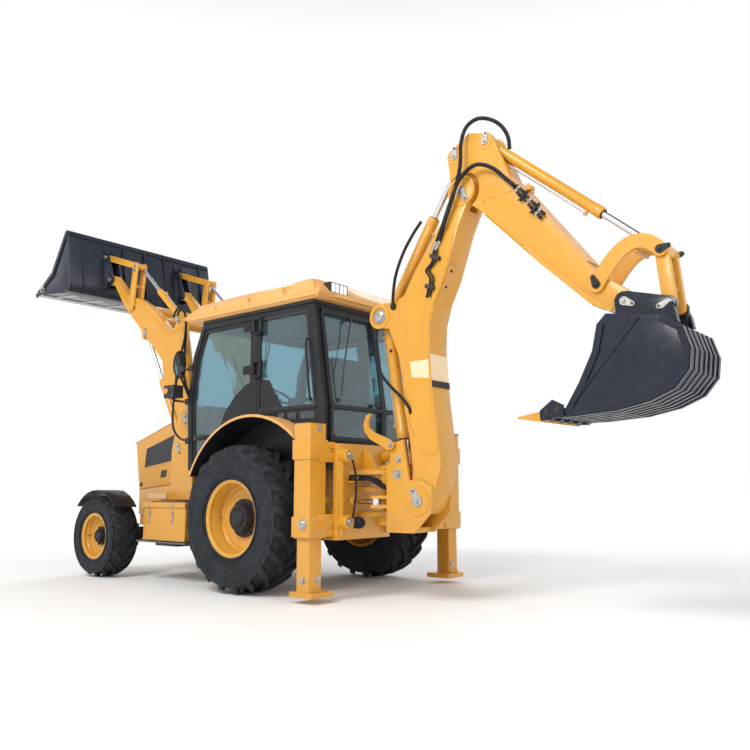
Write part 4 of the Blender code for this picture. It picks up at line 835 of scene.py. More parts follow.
glazing = Shape()
trim = Shape()
for word, side in SIDES:
    # the rear quarter pane bows a little towards the corner
    rows = []
    for z, rear in ((1.604, -0.752), (1.82, -0.722), (2.04, -0.694), (2.25, -0.665),
                    (2.456, -0.636)):
        row = []
        for k in range(9):
            share = k / 8
            x = -0.014 + share * (rear + 0.014)
            row.append(at(x, side * (0.764 - 0.022 * max(0.0, share - 0.35) ** 2), z))
        rows.append(row)
    glazing.pane(rows, -0.006 * side, GLASS)
    hole = [(-0.012, 1.602), (-0.012, 2.458), (-0.638, 2.458), (-0.758, 1.602)]
    seal = [(-0.034, 1.624), (-0.034, 2.436), (-0.622, 2.436), (-0.734, 1.624)]
    ring(trim, hole, seal, side * 0.760, side * 0.782, PLASTIC)
    # the black panel's top end, behind the quarter pane
    trim.plate([(-0.012, 1.90), (-0.16, 1.875), (-0.215, 1.78), (-0.30, 1.66), (-0.36, 1.602),
                (-0.012, 1.602)], side * 0.7665, side * 0.7725, BLACK)
    # strip windows above the mudguard, with their black surround
    for x0, x1 in ((-0.37, -0.30), (-0.52, -0.42), (-0.74, -0.57)):
        glazing.plate([(x0, 1.50), (x1, 1.50), (x1, 1.565), (x0, 1.565)], side * 0.7795,
                      side * 0.7825, GLASS)
    # black side panel under the quarter pane, with a pressed edge
    trim.plate([(0.055, 1.60), (0.055, 1.56), (-0.10, 1.57), (-0.40, 1.585), (-0.76, 1.585),
                (-0.76, 1.60)], side * 0.780, side * 0.790, BLACK)
    panel = arc(FENDER_CENTRE, 0.925, 82, 40, 10) + [(0.61, 1.10)] + arc(
        FENDER_CENTRE, 0.958, 38, 80, 10)
    trim.plate(panel, side * 0.779, side * 0.786, BLACK)
    trim.plate([(0.045, 1.58), (-0.012, 1.60), (-0.012, 2.46), (0.045, 2.46)], side * 0.780,
               side * 0.788, BLACK)
    # body lugs of the door hinges, on the pillar
    for z in (1.94, 2.34):
        trim.box((-0.045, 0.022), (side * 0.781, side * 0.812), (z - 0.03, z - 0.008), BLACK)
        trim.box((-0.045, 0.022), (side * 0.781, side * 0.812), (z + 0.108, z + 0.13), BLACK)
        trim.box((-0.075, -0.040), (side * 0.781, side * 0.806), (z - 0.03, z + 0.13), BLACK)
        for h in (z - 0.01, z + 0.11):
            trim.bolt(at(-0.058, side * 0.806, h), (0, side, 0), 0.009, CASTING)
    # grab handle beside the rear pillar
    trim.hose([at(-0.70, side * 0.775, 1.66), at(-0.715, side * 0.815, 1.70),
               at(-0.69, side * 0.820, 1.95), at(-0.665, side * 0.815, 2.16),
               at(-0.65, side * 0.775, 2.20)], 0.011, BLACK)
glazing.make("side_glass", "chassis", "cab_glass")


def cab_front(z):
    if z < 1.75:
        return 0.98 + 0.04 * (z - 1.08) / 0.67
    if z < 2.20:
        return 1.02 - 0.07 * (z - 1.75) / 0.45
    return 0.95 - 0.15 * (z - 2.20) / 0.34


def cab_back(z):
    return -0.86 if z < 1.60 else -0.86 + 0.14 * (z - 1.60) / 0.94


def strip(shape, face, out, ys, zs, depth, material):
    """A bar on the front or rear of the cab that follows its slope between two heights."""
    count = 8
    for k in range(count):
        z0 = zs[0] + (zs[1] - zs[0]) * k / count
        z1 = zs[0] + (zs[1] - zs[0]) * (k + 1) / count
        a, b = face(z0) + out, face(z1) + out
        shape.plate([(a, z0), (b, z1), (b + depth, z1), (a + depth, z0)], ys[0], ys[1], material)


for y0, y1 in ((-0.72, -0.685), (-0.025, 0.035), (0.685, 0.72)):
    strip(trim, cab_back, -0.004, (y0, y1), (1.31, 2.47), -0.016, BLACK)
for z in (1.31, 1.585, 2.435):
    trim.box((cab_back(z) - 0.022, cab_back(z) + 0.01), (-0.72, 0.72), (z, z + 0.035), BLACK)
for y0, y1 in ((-0.72, -0.69), (0.69, 0.72)):
    strip(trim, cab_front, 0.002, (y0, y1), (1.31, 2.47), 0.012, PLASTIC)
trim.box((cab_front(1.32) - 0.02, cab_front(1.32) + 0.016), (-0.72, 0.72), (1.305, 1.335), PLASTIC)
# rear window catches and grip
for y in (-0.62, 0.10, 0.62):
    trim.box((cab_back(1.66) - 0.035, cab_back(1.66) - 0.004), (y - 0.02, y + 0.02),
             (1.640, 1.675), PLASTIC)
# dark sun band above the windows and the gasket under the roof
trim.box((-0.73, 0.79), (-0.795, 0.795), (2.515, 2.542), PLASTIC)
# wipers
for face, x_out, y in ((cab_front, 0.018, -0.10), (cab_back, -0.028, 0.36)):
    low = 1.36 if x_out > 0 else 2.42
    trim.rod(at(face(low) + 0.2 * x_out, y, low), at(face(low) + 1.8 * x_out, y, low), 0.018,
             PLASTIC, 20, 0.003)
    tip = at(face(1.90) + 1.5 * x_out, y + 0.18, 1.90)
    trim.hose([at(face(low) + 1.6 * x_out, y, low), at(face(low) + 2.0 * x_out, y + 0.05,
               0.7 * low + 0.3 * 1.9), tip], 0.006, BLACK, 8)
    trim.hose([tip + Vector((0, -0.03, 0.20)), tip, tip + Vector((0, 0.03, -0.20))], 0.007,
              PLASTIC, 8)
trim.make("cab_trim", "chassis", "black_paint", 0.0025, (), 40)

# ---------------------------------------------------------------- roof
# the roof's plates take the paler yellow, a painted highlight on its top
roof = Shape()
# stepped facets along the sides of the roof, as the pressed edge has
for side in (-1, 1):
    for x0, x1, drop in ((-0.80, -0.45, 0.0), (-0.42, 0.02, 0.018), (0.05, 0.50, 0.036),
                         (0.53, 0.96, 0.054)):
        outline = [(x0, 2.598), (x0 + 0.04, 2.705 - drop), (x1 - 0.09, 2.700 - drop),
                   (x1, 2.598)]
        roof.plate(outline, side * 0.79, side * 0.848, TOP_LIT_PAINT)
roof.level([(-0.862, -0.60), (-0.862, 0.60), (-0.80, 0.846), (0.95, 0.846), (1.057, 0.62),
            (1.057, -0.62), (0.95, -0.846), (-0.80, -0.846)], 2.560, 2.600, TOP_LIT_PAINT)
for y in (0.60, -0.60):
    roof.box((-0.852, -0.70), (y - 0.115, y + 0.115), (2.592, 2.690), PLASTIC)
    for k in (-1, 1):
        centre = y + 0.052 * k
        roof.box((-0.860, -0.846), (centre - 0.043, centre + 0.043), (2.604, 2.680), WHITE_LENS)
        roof.box((-0.862, -0.858), (centre - 0.002, centre + 0.002), (2.604, 2.680), PLASTIC)
for y in (0.62, -0.62):
    roof.box((0.93, 1.03), (y - 0.09, y + 0.09), (2.60, 2.69), PLASTIC)
    roof.box((1.03, 1.04), (y - 0.078, y + 0.078), (2.612, 2.678), WHITE_LENS)
for x, y in ((-0.30, 0.42), (0.30, 0.42), (-0.30, -0.42), (0.30, -0.42)):
    roof.bolt(at(x, y, 2.786), (0, 0, 1), 0.010, ZINC)
roof.make("roof_details", "chassis", "roof_paint", 0.003, (), 36)


# ---------------------------------------------------------------- cab inside
def cushion(name, low, high, fill, channels, replaces=(), tilt=0.0):
    """A crowned pad: sides that pull in between the corners, sewn channels and a piped seam."""
    low, high = Vector(low), Vector(high)
    centre = 0.5 * (low + high)
    half = 0.5 * (high - low)
    count = 26
    vertices = []
    index = {}
    faces = []
    for axis in range(3):
        for sign in (-1, 1):
            ids = []
            for i in range(count + 1):
                for j in range(count + 1):
                    p = [0.0, 0.0, 0.0]
                    p[axis] = float(sign)
                    p[(axis + 1) % 3] = 2 * i / count - 1
                    p[(axis + 2) % 3] = 2 * j / count - 1
                    key = tuple(round(c, 5) for c in p)
                    if key not in index:
                        index[key] = len(vertices)
                        vertices.append(key)
                    ids.append(index[key])
            for i in range(count):
                for j in range(count):
                    a = i * (count + 1) + j
                    quad = (ids[a], ids[a + count + 1], ids[a + count + 2], ids[a + 1])
                    faces.append(quad if sign > 0 else tuple(reversed(quad)))
    out = []
    for x, y, z in vertices:
        length = (abs(x) ** 5 + abs(y) ** 5 + abs(z) ** 5) ** 0.2
        p = Vector((x, y, z)) / length
        pinch = 1.0 - 0.05 * (1 - p.x * p.x) * (1 - p.y * p.y) - 0.03 * (1 - abs(p.z))
        crown = 0.86 + 0.14 * fill * (1 - p.x * p.x) * (1 - p.y * p.y)
        dip = sum(0.10 * math.exp(-((p.y - c) / 0.05) ** 2) for c in channels)
        dip += 0.05 * math.exp(-((abs(p.z) - 0.25) / 0.05) ** 2)
        q = Vector((half.x * p.x * pinch, half.y * p.y * pinch, half.z * p.z * (crown - dip)))
        q = Matrix.Rotation(tilt, 3, "Y") @ q
        out.append(centre + q)
    pad = Shape().add(out, faces, CLOTH, True).make(name, "chassis", "seat_vinyl", 0.0, replaces,
                                                    80)
    return pad


cushion("seat_cushion", at(-0.285, -0.240, 1.452), at(0.215, 0.240, 1.556), 0.8, (-0.42, 0.42))
cushion("seat_back", at(-0.60, -0.225, 1.765), at(-0.03, 0.225, 1.865), 0.8, (-0.42, 0.42), (),
        math.radians(-98.0))
cabin = Shape()
cabin.box((-0.21, 0.15), (-0.19, 0.19), (1.132, 1.20), BLACK)
for z in (1.215, 1.245, 1.275, 1.305, 1.335):
    cabin.box((-0.19, 0.13), (-0.175, 0.175), (z, z + 0.022), PLASTIC)
cabin.box((-0.21, 0.15), (-0.20, 0.20), (1.36, 1.44), BLACK)
cabin.plate([(-0.43, 2.13), (-0.335, 2.13), (-0.20, 1.47), (-0.29, 1.44)], -0.20, 0.20, PLASTIC)
for side in (-1, 1):
    cabin.hose([at(-0.30, side * 0.235, 1.60), at(-0.22, side * 0.27, 1.72),
                at(-0.10, side * 0.275, 1.745), at(0.08, side * 0.275, 1.745)], 0.026, VINYL)
    # side console with its levers
    cabin.box((-0.66, -0.30), (side * 0.40, side * 0.60), (1.132, 1.52), PLASTIC)
    cabin.hose([at(-0.56, side * 0.50, 1.51), at(-0.58, side * 0.50, 1.66),
                at(-0.60, side * 0.49, 1.78)], 0.009, BLACK, 10)
    cabin.turned([(0.0, 0.0), (0.020, 0.005), (0.028, 0.035), (0.022, 0.075), (0.0, 0.085)],
                 at(-0.60, side * 0.49, 1.77), (0, 0, 1), VINYL, 20)
cabin.plate([(0.858, 1.132), (0.858, 1.60), (0.742, 1.738), (0.645, 1.698), (0.702, 1.132)],
            -0.12, 0.12, PLASTIC)
cabin.plate([(0.735, 1.742), (0.655, 1.706), (0.660, 1.716), (0.730, 1.752)], -0.10, 0.10,
            GREY_PLASTIC)
cabin.rod(at(0.72, 0.0, 1.66), at(0.60, 0.0, 1.858), 0.024, PLASTIC, 20, 0.003)
WHEEL_CENTRE = at(0.598, 0.0, 1.863)
WHEEL_AXIS = Vector((-0.5145, 0.0, 0.8575)).normalized()
cabin.turned([(0.176 + 0.014 * math.cos(math.radians(a)), 0.014 * math.sin(math.radians(a)))
              for a in range(0, 361, 30)], WHEEL_CENTRE, WHEEL_AXIS, VINYL, 56)
cabin.turned([(0.0, -0.012), (0.045, -0.012), (0.04, 0.012), (0.0, 0.016)], WHEEL_CENTRE,
             WHEEL_AXIS, PLASTIC, 28)
spoke = WHEEL_AXIS.cross(Vector((0, 1, 0)))
for k in range(3):
    turn = Matrix.Rotation(2 * math.pi * k / 3, 3, WHEEL_AXIS) @ spoke
    cabin.rod(WHEEL_CENTRE + 0.03 * turn, WHEEL_CENTRE + 0.172 * turn, 0.008, ZINC, 12)
for y in (-0.20, 0.20):
    cabin.box((0.62, 0.70), (y - 0.04, y + 0.04), (1.135, 1.16), BLACK)
    cabin.hose([at(0.66, y, 1.16), at(0.72, y, 1.30), at(0.75, y * 0.6, 1.40)], 0.008, BLACK, 8)
cabin.box((-0.74, 0.90), (-0.70, 0.70), (1.1305, 1.1340), VINYL)
cabin.make("cab_inside", "chassis", "black_paint", 0.003, ["driver_seat", "steering_console"], 40)


# ---------------------------------------------------------------- shared small parts
def band(shape, path, y0, y1, thick, material):
    """A strip of plate bent along a path in X and Z, standing off it to the left of travel."""
    outer = []
    for i, (x, z) in enumerate(path):
        before, after = path[max(i - 1, 0)], path[min(i + 1, len(path) - 1)]
        dx, dz = after[0] - before[0], after[1] - before[1]
        length = math.hypot(dx, dz)
        outer.append((x - dz / length * thick, z + dx / length * thick))
    for i in range(len(path) - 1):
        shape.plate([path[i], path[i + 1], outer[i + 1], outer[i]], y0, y1, material)
    return shape


def lock_plate(shape, pin, y, side, angle, material, length=0.062, radius=0.030):
    """The pin's head and its flag plate, bolted flat against the side of an arm."""
    turn = math.radians(angle)
    far = (pin[0] + length * math.cos(turn), pin[1] + length * math.sin(turn))
    outline = (arc(pin, radius, angle + 90, angle + 270, 8)
               + arc(far, 0.6 * radius, angle - 90, angle + 90, 6))
    shape.plate(outline, y, y + side * 0.008, material)
    shape.bolt(in_xz(pin, y + side * 0.008), (0, side, 0), 0.013, material)
    shape.bolt(in_xz(far, y + side * 0.008), (0, side, 0), 0.008, CASTING, False)


def banana(start, crown, end, widths, steps=12):
    """The outline of a curved lever: round at both ends and bowed towards the crown."""
    left, right = [], []
    for i in range(steps + 1):
        t = i / steps
        x = (1 - t) ** 2 * start[0] + 2 * t * (1 - t) * crown[0] + t * t * end[0]
        z = (1 - t) ** 2 * start[1] + 2 * t * (1 - t) * crown[1] + t * t * end[1]
        dx = 2 * (1 - t) * (crown[0] - start[0]) + 2 * t * (end[0] - crown[0])
        dz = 2 * (1 - t) * (crown[1] - start[1]) + 2 * t * (end[1] - crown[1])
        length = math.hypot(dx, dz)
        w = widths[0] + (widths[1] - widths[0]) * t
        left.append((x - dz / length * w, z + dx / length * w))
        right.append((x + dz / length * w, z - dx / length * w))
    first = math.degrees(math.atan2(left[0][1] - start[1], left[0][0] - start[0]))
    last = math.degrees(math.atan2(right[-1][1] - end[1], right[-1][0] - end[0]))
    return (left[::-1] + arc(start, widths[0], first, first + 180, 8)[1:-1] + right
            + arc(end, widths[1], last, last + 180, 8)[1:-1])


# ---------------------------------------------------------------- boom
BOOM_SIDE = 0.12
boom = Shape()
for side in (-1, 1):
    y = DIG_Y + side * BOOM_SIDE
    # the side plate's outer layer, with its curved front edge
    cover = [(-1.885, 1.16), (-1.825, 1.60), (-1.797, 2.02), (-1.806, 2.20), (-1.856, 2.37),
             (-1.946, 2.55), (-2.015, 2.745), (-2.060, 2.90), (-1.915, 2.98), (-1.76, 2.76),
             (-1.66, 2.60), (-1.60, 2.44), (-1.575, 2.22), (-1.600, 1.98), (-1.635, 1.75),
             (-1.67, 1.50), (-1.72, 1.28), (-1.77, 1.16)]
    boom.plate(cover, y, y + side * 0.005, PAINT)
    patch = [(-1.636, 1.79), (-1.620, 1.92), (-1.803, 1.92), (-1.812, 1.77)]
    boom.plate(patch, y + side * 0.005, y + side * 0.0062, REFLECTOR)
    boom.turned([(0.075, 0.0), (0.105, 0.0), (0.105, 0.006), (0.075, 0.006)],
                in_xz(BOOM_LUG, y), (0, side, 0), PAINT, 32, False)
    boom.pin(in_xz(BOOM_LUG, y), (0, side, 0), 0.046, ZINC)
    boom.bolt(at(-1.42, y, 2.03), (0, side, 0), 0.010, CASTING)
    boom.turned([(0.100, 0.0), (0.124, 0.0), (0.124, 0.005), (0.100, 0.005)],
                in_xz(DIPPER_PIVOT, y), (0, side, 0), PAINT, 36, False)
    # weld ribs at the front of the foot
    boom.plate([(-1.60, 1.55), (-1.585, 1.55), (-1.60, 1.40), (-1.655, 1.32), (-1.66, 1.335),
                (-1.615, 1.41)], y, y + side * 0.006, PAINT)
lock_plate(boom, DIPPER_PIVOT, DIG_Y + 0.125, 1, -118, ZINC, 0.085, 0.034)
lock_plate(boom, DIPPER_PIVOT, DIG_Y - 0.125, -1, -118, ZINC, 0.085, 0.034)
# rear face: a cream reflector with a dark plate under it, and a seam at the head
boom.plate([(-1.8285, 1.755), (-1.8135, 1.965), (-1.8155, 1.965), (-1.8305, 1.755)],
           DIG_Y - 0.115, DIG_Y + 0.115, REFLECTOR)
boom.plate([(-1.8330, 1.700), (-1.8290, 1.750), (-1.8370, 1.750), (-1.8410, 1.700)],
           DIG_Y - 0.118, DIG_Y + 0.118, BLACK)
band(boom, [(-2.00, 2.66), (-1.955, 2.545), (-1.865, 2.365)], DIG_Y - 0.105, DIG_Y + 0.105, -0.006,
     PAINT)
for z, x in ((2.62, -1.99), (2.50, -1.935)):
    boom.bolt(at(x, DIG_Y + 0.06, z), (-1, 0, 0.4), 0.010, CASTING)
# pipes, clamps and couplings up the left side
for offset in (0.0, 0.030):
    boom.hose([at(-1.80 - offset, DIG_Y + 0.137, 2.42), at(-1.84 - offset, DIG_Y + 0.140, 2.56),
               at(-1.80 - offset, DIG_Y + 0.140, 2.64), at(-1.86 - offset, DIG_Y + 0.140, 2.70),
               at(-1.88 - offset, DIG_Y + 0.140, 2.80)], 0.0085, BLACK, 10)
boom.plate([(-1.87, 2.47), (-1.79, 2.50), (-1.80, 2.53), (-1.88, 2.50)], DIG_Y + 0.125,
           DIG_Y + 0.152, CASTING)
boom.plate([(-1.93, 2.70), (-1.84, 2.74), (-1.85, 2.77), (-1.94, 2.73)], DIG_Y + 0.125,
           DIG_Y + 0.152, CASTING)
boom.rod(at(-1.86, DIG_Y + 0.14, 2.79), at(-1.905, DIG_Y + 0.14, 2.86), 0.014, ZINC, 6)
boom.rod(at(-1.895, DIG_Y + 0.14, 2.79), at(-1.935, DIG_Y + 0.14, 2.86), 0.014, ZINC, 6)
boom.make("boom_fittings", "boom", "machine_paint", 0.002, (), 40)

# ---------------------------------------------------------------- dipper
dipper = Shape()
for side in (-1, 1):
    y = DIG_Y + side * 0.10
    low_edge = [(-2.66, 2.665), (-2.80, 2.53), (-3.20, 2.15), (-3.31, 2.095), (-3.335, 2.120),
                (-3.21, 2.185), (-2.81, 2.565), (-2.67, 2.700)]
    dipper.plate(low_edge, y, y + side * 0.006, PAINT)
    seam = [(-2.31, 3.09), (-2.345, 3.13), (-2.60, 3.14), (-2.60, 3.128), (-2.35, 3.118),
            (-2.318, 3.083)]
    dipper.plate(seam, y, y + side * 0.004, PAINT)
    for pin, radius in ((DIPPER_RAM_PIN, 0.062), (SCOOP_RAM_BASE, 0.062), (ROCKER_PIN, 0.066),
                        (SCOOP_PIN, 0.066)):
        # on the right side the two lower pins have a ring as well
        if radius != 0.066 or side < 0:
            dipper.turned([(0.030, 0.0), (radius, 0.0), (radius, 0.004), (0.030, 0.004)],
                          in_xz(pin, y), (0, side, 0), PAINT, 28, False)
    lock_plate(dipper, DIPPER_RAM_PIN, y + side * 0.004, side, 100, ZINC, 0.06, 0.030)
    lock_plate(dipper, SCOOP_RAM_BASE, y + side * 0.004, side, 105, ZINC, 0.06, 0.030)
# flanges on the top and bottom plates stand past the side plates; the top one takes the paler
# yellow, a painted highlight
band(dipper, [(-2.58, 3.224), (-3.16, 2.470)], DIG_Y - 0.108, DIG_Y + 0.108, -0.008, TOP_LIT_PAINT)
band(dipper, [(-2.34, 2.998), (-2.80, 2.530), (-3.19, 2.159)], DIG_Y - 0.106, DIG_Y + 0.106, 0.007,
     PAINT)
# the coupling block on the left side
block = at(-2.62, DIG_Y + 0.118, 3.145)
step = (at(-2.93, DIG_Y + 0.118, 2.745) - block).normalized()
lift = Vector((-step.z, 0, step.x))
for row in (-0.5, 0.5):
    start = block + lift * 0.034 * row
    dipper.rod(start, start + step * 0.34, 0.0095, BLACK, 12)
    for k, share in enumerate((0.02, 0.07, 0.17, 0.22, 0.29, 0.33)):
        place = start + step * share
        dipper.rod(place, place + step * 0.022, 0.0155, BLACK if k % 2 else ZINC, 6)
for share in (0.11, 0.26):
    centre = block + step * share
    dipper.rod(centre - lift * 0.045, centre + lift * 0.045, 0.012, BLACK, 8)
    for row in (-0.045, 0.0, 0.045):
        dipper.bolt(centre + lift * row + Vector((0, 0.008, 0)), (0, 1, 0), 0.009, CASTING, False)
dipper.box((-2.70, -2.63), (DIG_Y - 0.03, DIG_Y + 0.03), (3.135, 3.165), PAINT)
dipper.rod(at(-2.70, DIG_Y, 3.11), at(-2.66, DIG_Y, 3.19), 0.012, PAINT, 12)
dipper.make("dipper_fittings", "dipper", "machine_paint", 0.0018, (), 40)

# hoses that cross the dipper's pivot
HEAD_FROM = (at(-2.04, DIG_Y, 3.08), at(-2.34, DIG_Y, 3.40))
for name, route in (
        ("dipper_hose", [(-1.91, 0.140, 2.86), (-1.97, 0.152, 2.96), (-2.06, 0.165, 3.14),
                         (-2.16, 0.172, 3.31), (-2.30, 0.170, 3.385), (-2.44, 0.160, 3.33),
                         (-2.56, 0.140, 3.21), (-2.62, 0.125, 3.145)]),
        ("scoop_hose", [(-1.935, 0.140, 2.86), (-2.00, 0.158, 3.00), (-2.10, 0.175, 3.20),
                        (-2.165, 0.178, 3.40), (-2.17, 0.165, 3.60), (-2.20, 0.130, 3.74),
                        (-2.28, 0.090, 3.800), (-2.38, 0.055, 3.775), (-2.46, 0.03, 3.705),
                        (-2.505, 0.012, 3.61), (-2.512, 0.004, 3.515)])):
    line = Shape()
    line.hose([at(x, DIG_Y + y, z) for x, y, z in route], 0.0155, HOSE, 12, 9)
    crossing(line, name, "boom", "dipper", *HEAD_FROM)

# hose from the boom's lug up to the end of the dipper ram's barrel
line = Shape()
line.hose([at(-1.45, DIG_Y + 0.128, 2.40), at(-1.47, DIG_Y + 0.150, 2.50),
           at(-1.50, DIG_Y + 0.150, 2.66), at(-1.57, DIG_Y + 0.135, 2.84),
           at(-1.65, DIG_Y + 0.105, 2.99), at(-1.70, DIG_Y + 0.065, 3.09)], 0.013, HOSE, 12)
line.turned([(0.0, 0.0), (0.028, 0.0), (0.028, 0.012), (0.016, 0.02), (0.0, 0.02)],
            at(-1.45, DIG_Y + 0.120, 2.40), (0, 1, 0), HOSE, 20)
line.make("dipper_ram_hose", "boom", "tyre_rubber", 0.0, (), 60)

# hose from the lug down into the foot
line = Shape()
line.hose([at(-1.27, DIG_Y + 0.09, 2.26), at(-1.265, DIG_Y + 0.125, 2.18),
           at(-1.285, DIG_Y + 0.145, 2.02), at(-1.33, DIG_Y + 0.15, 1.86),
           at(-1.43, DIG_Y + 0.15, 1.74), at(-1.54, DIG_Y + 0.145, 1.64),
           at(-1.61, DIG_Y + 0.130, 1.55), at(-1.62, DIG_Y + 0.115, 1.50)], 0.013, HOSE, 12)
line.make("boom_ram_hose", "boom", "tyre_rubber", 0.0, (), 60)

# ---------------------------------------------------------------- backhoe bucket
CROWN = (-3.475, 2.690)
links = Shape()
for side in (-1, 1):
    inner = DIG_Y + side * 0.1008
    links.plate(banana(ROCKER_PIN, CROWN, ROCKER_TOP, (0.055, 0.047)), inner,
                inner + side * 0.022, PAINT)
    lock_plate(links, ROCKER_PIN, inner + side * 0.022, side, 68, BLACK, 0.058, 0.030)
    lock_plate(links, ROCKER_TOP, inner + side * 0.022, side, 168, BLACK, 0.058, 0.030)
middle = along(ROCKER_PIN, ROCKER_TOP, 0.26)
links.rod(in_xz((middle[0] - 0.03, middle[1] + 0.11), DIG_Y - 0.11),
          in_xz((middle[0] - 0.03, middle[1] + 0.11), DIG_Y + 0.11), 0.02, PAINT, 24)
links.make("rocker_plates", "rocker", "machine_paint", 0.003, ["bucket_rocker"], 40)

scoop = Shape()
shell = [(-3.30, 1.98), (-3.36, 2.04), (-3.72, 1.98), (-3.84, 1.90), (-3.885, 1.76),
         (-3.87, 1.63), (-3.78, 1.52), (-3.62, 1.45), (-3.40, 1.405), (-3.10, 1.385),
         (-2.88, 1.385)]
for k in range(7):
    y = DIG_Y + (k - 3) * 0.092
    band(scoop, shell[3:], y - 0.019, y + 0.019, -0.006, SCOOP_PAINT)
mouth = [(-3.30, 1.98), (-3.26, 1.80), (-3.16, 1.60), (-3.06, 1.44), (-2.90, 1.412)]
for side in (-1, 1):
    y = DIG_Y + side * 0.30
    band(scoop, mouth, y, y + side * 0.009, -0.045, SCOOP_PAINT)
    band(scoop, shell[2:], y, y + side * 0.005, 0.040, SCOOP_PAINT)
    crease = [(-3.585, 1.985), (-3.575, 1.995), (-3.06, 1.425), (-3.075, 1.418)]
    scoop.plate(crease, y, y + side * 0.006, SCOOP_PAINT)
    cutter = [(-3.05, 1.46), (-2.97, 1.50), (-2.875, 1.43), (-2.875, 1.385), (-3.05, 1.385)]
    scoop.plate(cutter, y + side * 0.009, y + side * 0.024, SCOOP_PAINT)
    for x in (-3.01, -2.93):
        scoop.bolt(at(x, y + side * 0.024, 1.425), (0, side, 0), 0.012, CASTING)
    ear = DIG_Y + side * 0.1252
    for pin, angle in ((SCOOP_PIN, 205), (SCOOP_LINK_PIN, -8)):
        lock_plate(scoop, pin, ear, side, angle, ZINC, 0.062, 0.030)
    gusset = [(-3.78, 1.95), (-3.62, 1.997), (-3.74, 2.09), (-3.765, 2.03)]
    scoop.plate(gusset, ear, ear + side * 0.05, SCOOP_PAINT)
    web = [(-3.34, 2.038), (-3.46, 2.018), (-3.42, 2.06)]
    scoop.plate(web, ear, ear + side * 0.09, SCOOP_PAINT)
scoop.plate([(-2.97, 1.412), (-2.862, 1.412), (-2.862, 1.420), (-2.97, 1.424)], DIG_Y - 0.298,
            DIG_Y + 0.298, EDGE_STEEL)
for k in range(5):
    y = DIG_Y + (k - 2) * 0.134
    scoop.plate([(-2.868, 1.360), (-2.845, 1.360), (-2.692, 1.386), (-2.692, 1.397),
                 (-2.845, 1.424), (-2.868, 1.424)], y - 0.036, y + 0.036, PAINT)
    scoop.rod(at(-2.895, y - 0.038, 1.392), at(-2.895, y + 0.038, 1.392), 0.009, ZINC, 10)
scoop.make("backhoe_bucket_plates", "backhoe_bucket", "bucket_paint", 0.0022, (), 40)

# ---------------------------------------------------------------- kingpost and carriage
post = Shape()
for side in (-1, 1):
    y = DIG_Y + side * 0.1455
    lock_plate(post, BOOM_FOOT, y, side, 62, ZINC, 0.085, 0.046)
    post.bolt(in_xz(BOOM_RAM_FOOT, y), (0, side, 0), 0.028, ZINC)
    post.bolt(at(-1.513, y, 1.138), (0, side, 0), 0.020, ZINC)
    post.turned([(0.050, 0.0), (0.115, 0.0), (0.115, 0.007), (0.050, 0.007)],
                in_xz(BOOM_FOOT, y), (0, side, 0), PAINT, 36, False)
# the hook that holds the boom for travel
hook = [(-1.490, 1.262), (-1.475, 1.222), (-1.420, 1.212), (-1.330, 1.262), (-1.240, 1.305),
        (-1.178, 1.370), (-1.165, 1.440), (-1.195, 1.505), (-1.245, 1.520), (-1.215, 1.460),
        (-1.222, 1.405), (-1.275, 1.362), (-1.360, 1.330), (-1.440, 1.300)]
post.plate(hook, DIG_Y + 0.150, DIG_Y + 0.172, PAINT)
post.bolt(at(-1.45, DIG_Y + 0.172, 1.255), (0, 1, 0), 0.016, ZINC)
for z0, z1 in ((1.062, 1.092), (0.990, 1.018)):
    lug = [(-1.30 + 0.08 * math.cos(math.radians(a)), DIG_Y + 0.08 * math.sin(math.radians(a)))
           for a in range(-90, 91, 20)]
    post.level(lug + [(-1.424, DIG_Y + 0.10), (-1.424, DIG_Y - 0.10)], z0, z1, PAINT)
for z in (0.992, 0.608):
    direction = (0, 0, 1) if z > 0.9 else (0, 0, -1)
    post.turned([(0.0, 0.0), (0.045, 0.0), (0.045, 0.010), (0.030, 0.016), (0.030, 0.030),
                 (0.0, 0.030)], at(-1.30, DIG_Y, 1.092 if z > 0.9 else 0.607), direction, ZINC, 24)
post.make("kingpost_fittings", "kingpost", "machine_paint", 0.002, (), 40)

shift = Shape()
REAR_FACE = -1.0305
for y in (0.735, 0.185):
    for z in (1.175, 0.635):
        shift.turned([(0.0, 0.0), (0.062, 0.0), (0.062, 0.075), (0.052, 0.085), (0.0, 0.085)],
                     at(REAR_FACE, y, z), (-1, 0, 0), PAINT, 36)
        shift.bolt(at(REAR_FACE - 0.085, y, z), (-1, 0, 0), 0.024, ZINC)
        shift.rod(at(REAR_FACE - 0.10, y, z), at(REAR_FACE - 0.115, y + 0.05, z + 0.01), 0.010,
                  ZINC, 10)
shift.hose([at(-1.135, 0.73, 1.14), at(-1.155, 0.715, 1.02), at(-1.150, 0.705, 0.85),
            at(-1.135, 0.725, 0.67)], 0.009, HOSE, 10)
# upper hinge arm with its flared root
reach = [(-1.30 + 0.08 * math.cos(math.radians(a)), DIG_Y + 0.08 * math.sin(math.radians(a)))
         for a in range(90, 271, 20)]
shift.level([(REAR_FACE, DIG_Y - 0.20), (REAR_FACE, DIG_Y + 0.20), (-1.10, DIG_Y + 0.15)] + reach
            + [(-1.10, DIG_Y - 0.15)], 1.0195, 1.0605, PAINT)
shift.plate([(REAR_FACE, 1.060), (REAR_FACE, 1.235), (-1.06, 1.235), (-1.19, 1.060)],
            DIG_Y - 0.014, DIG_Y + 0.014, PAINT)
for y in (DIG_Y - 0.30, DIG_Y + 0.30):
    shift.box((REAR_FACE - 0.03, REAR_FACE), (y - 0.014, y + 0.014), (0.53, 1.25), PAINT)
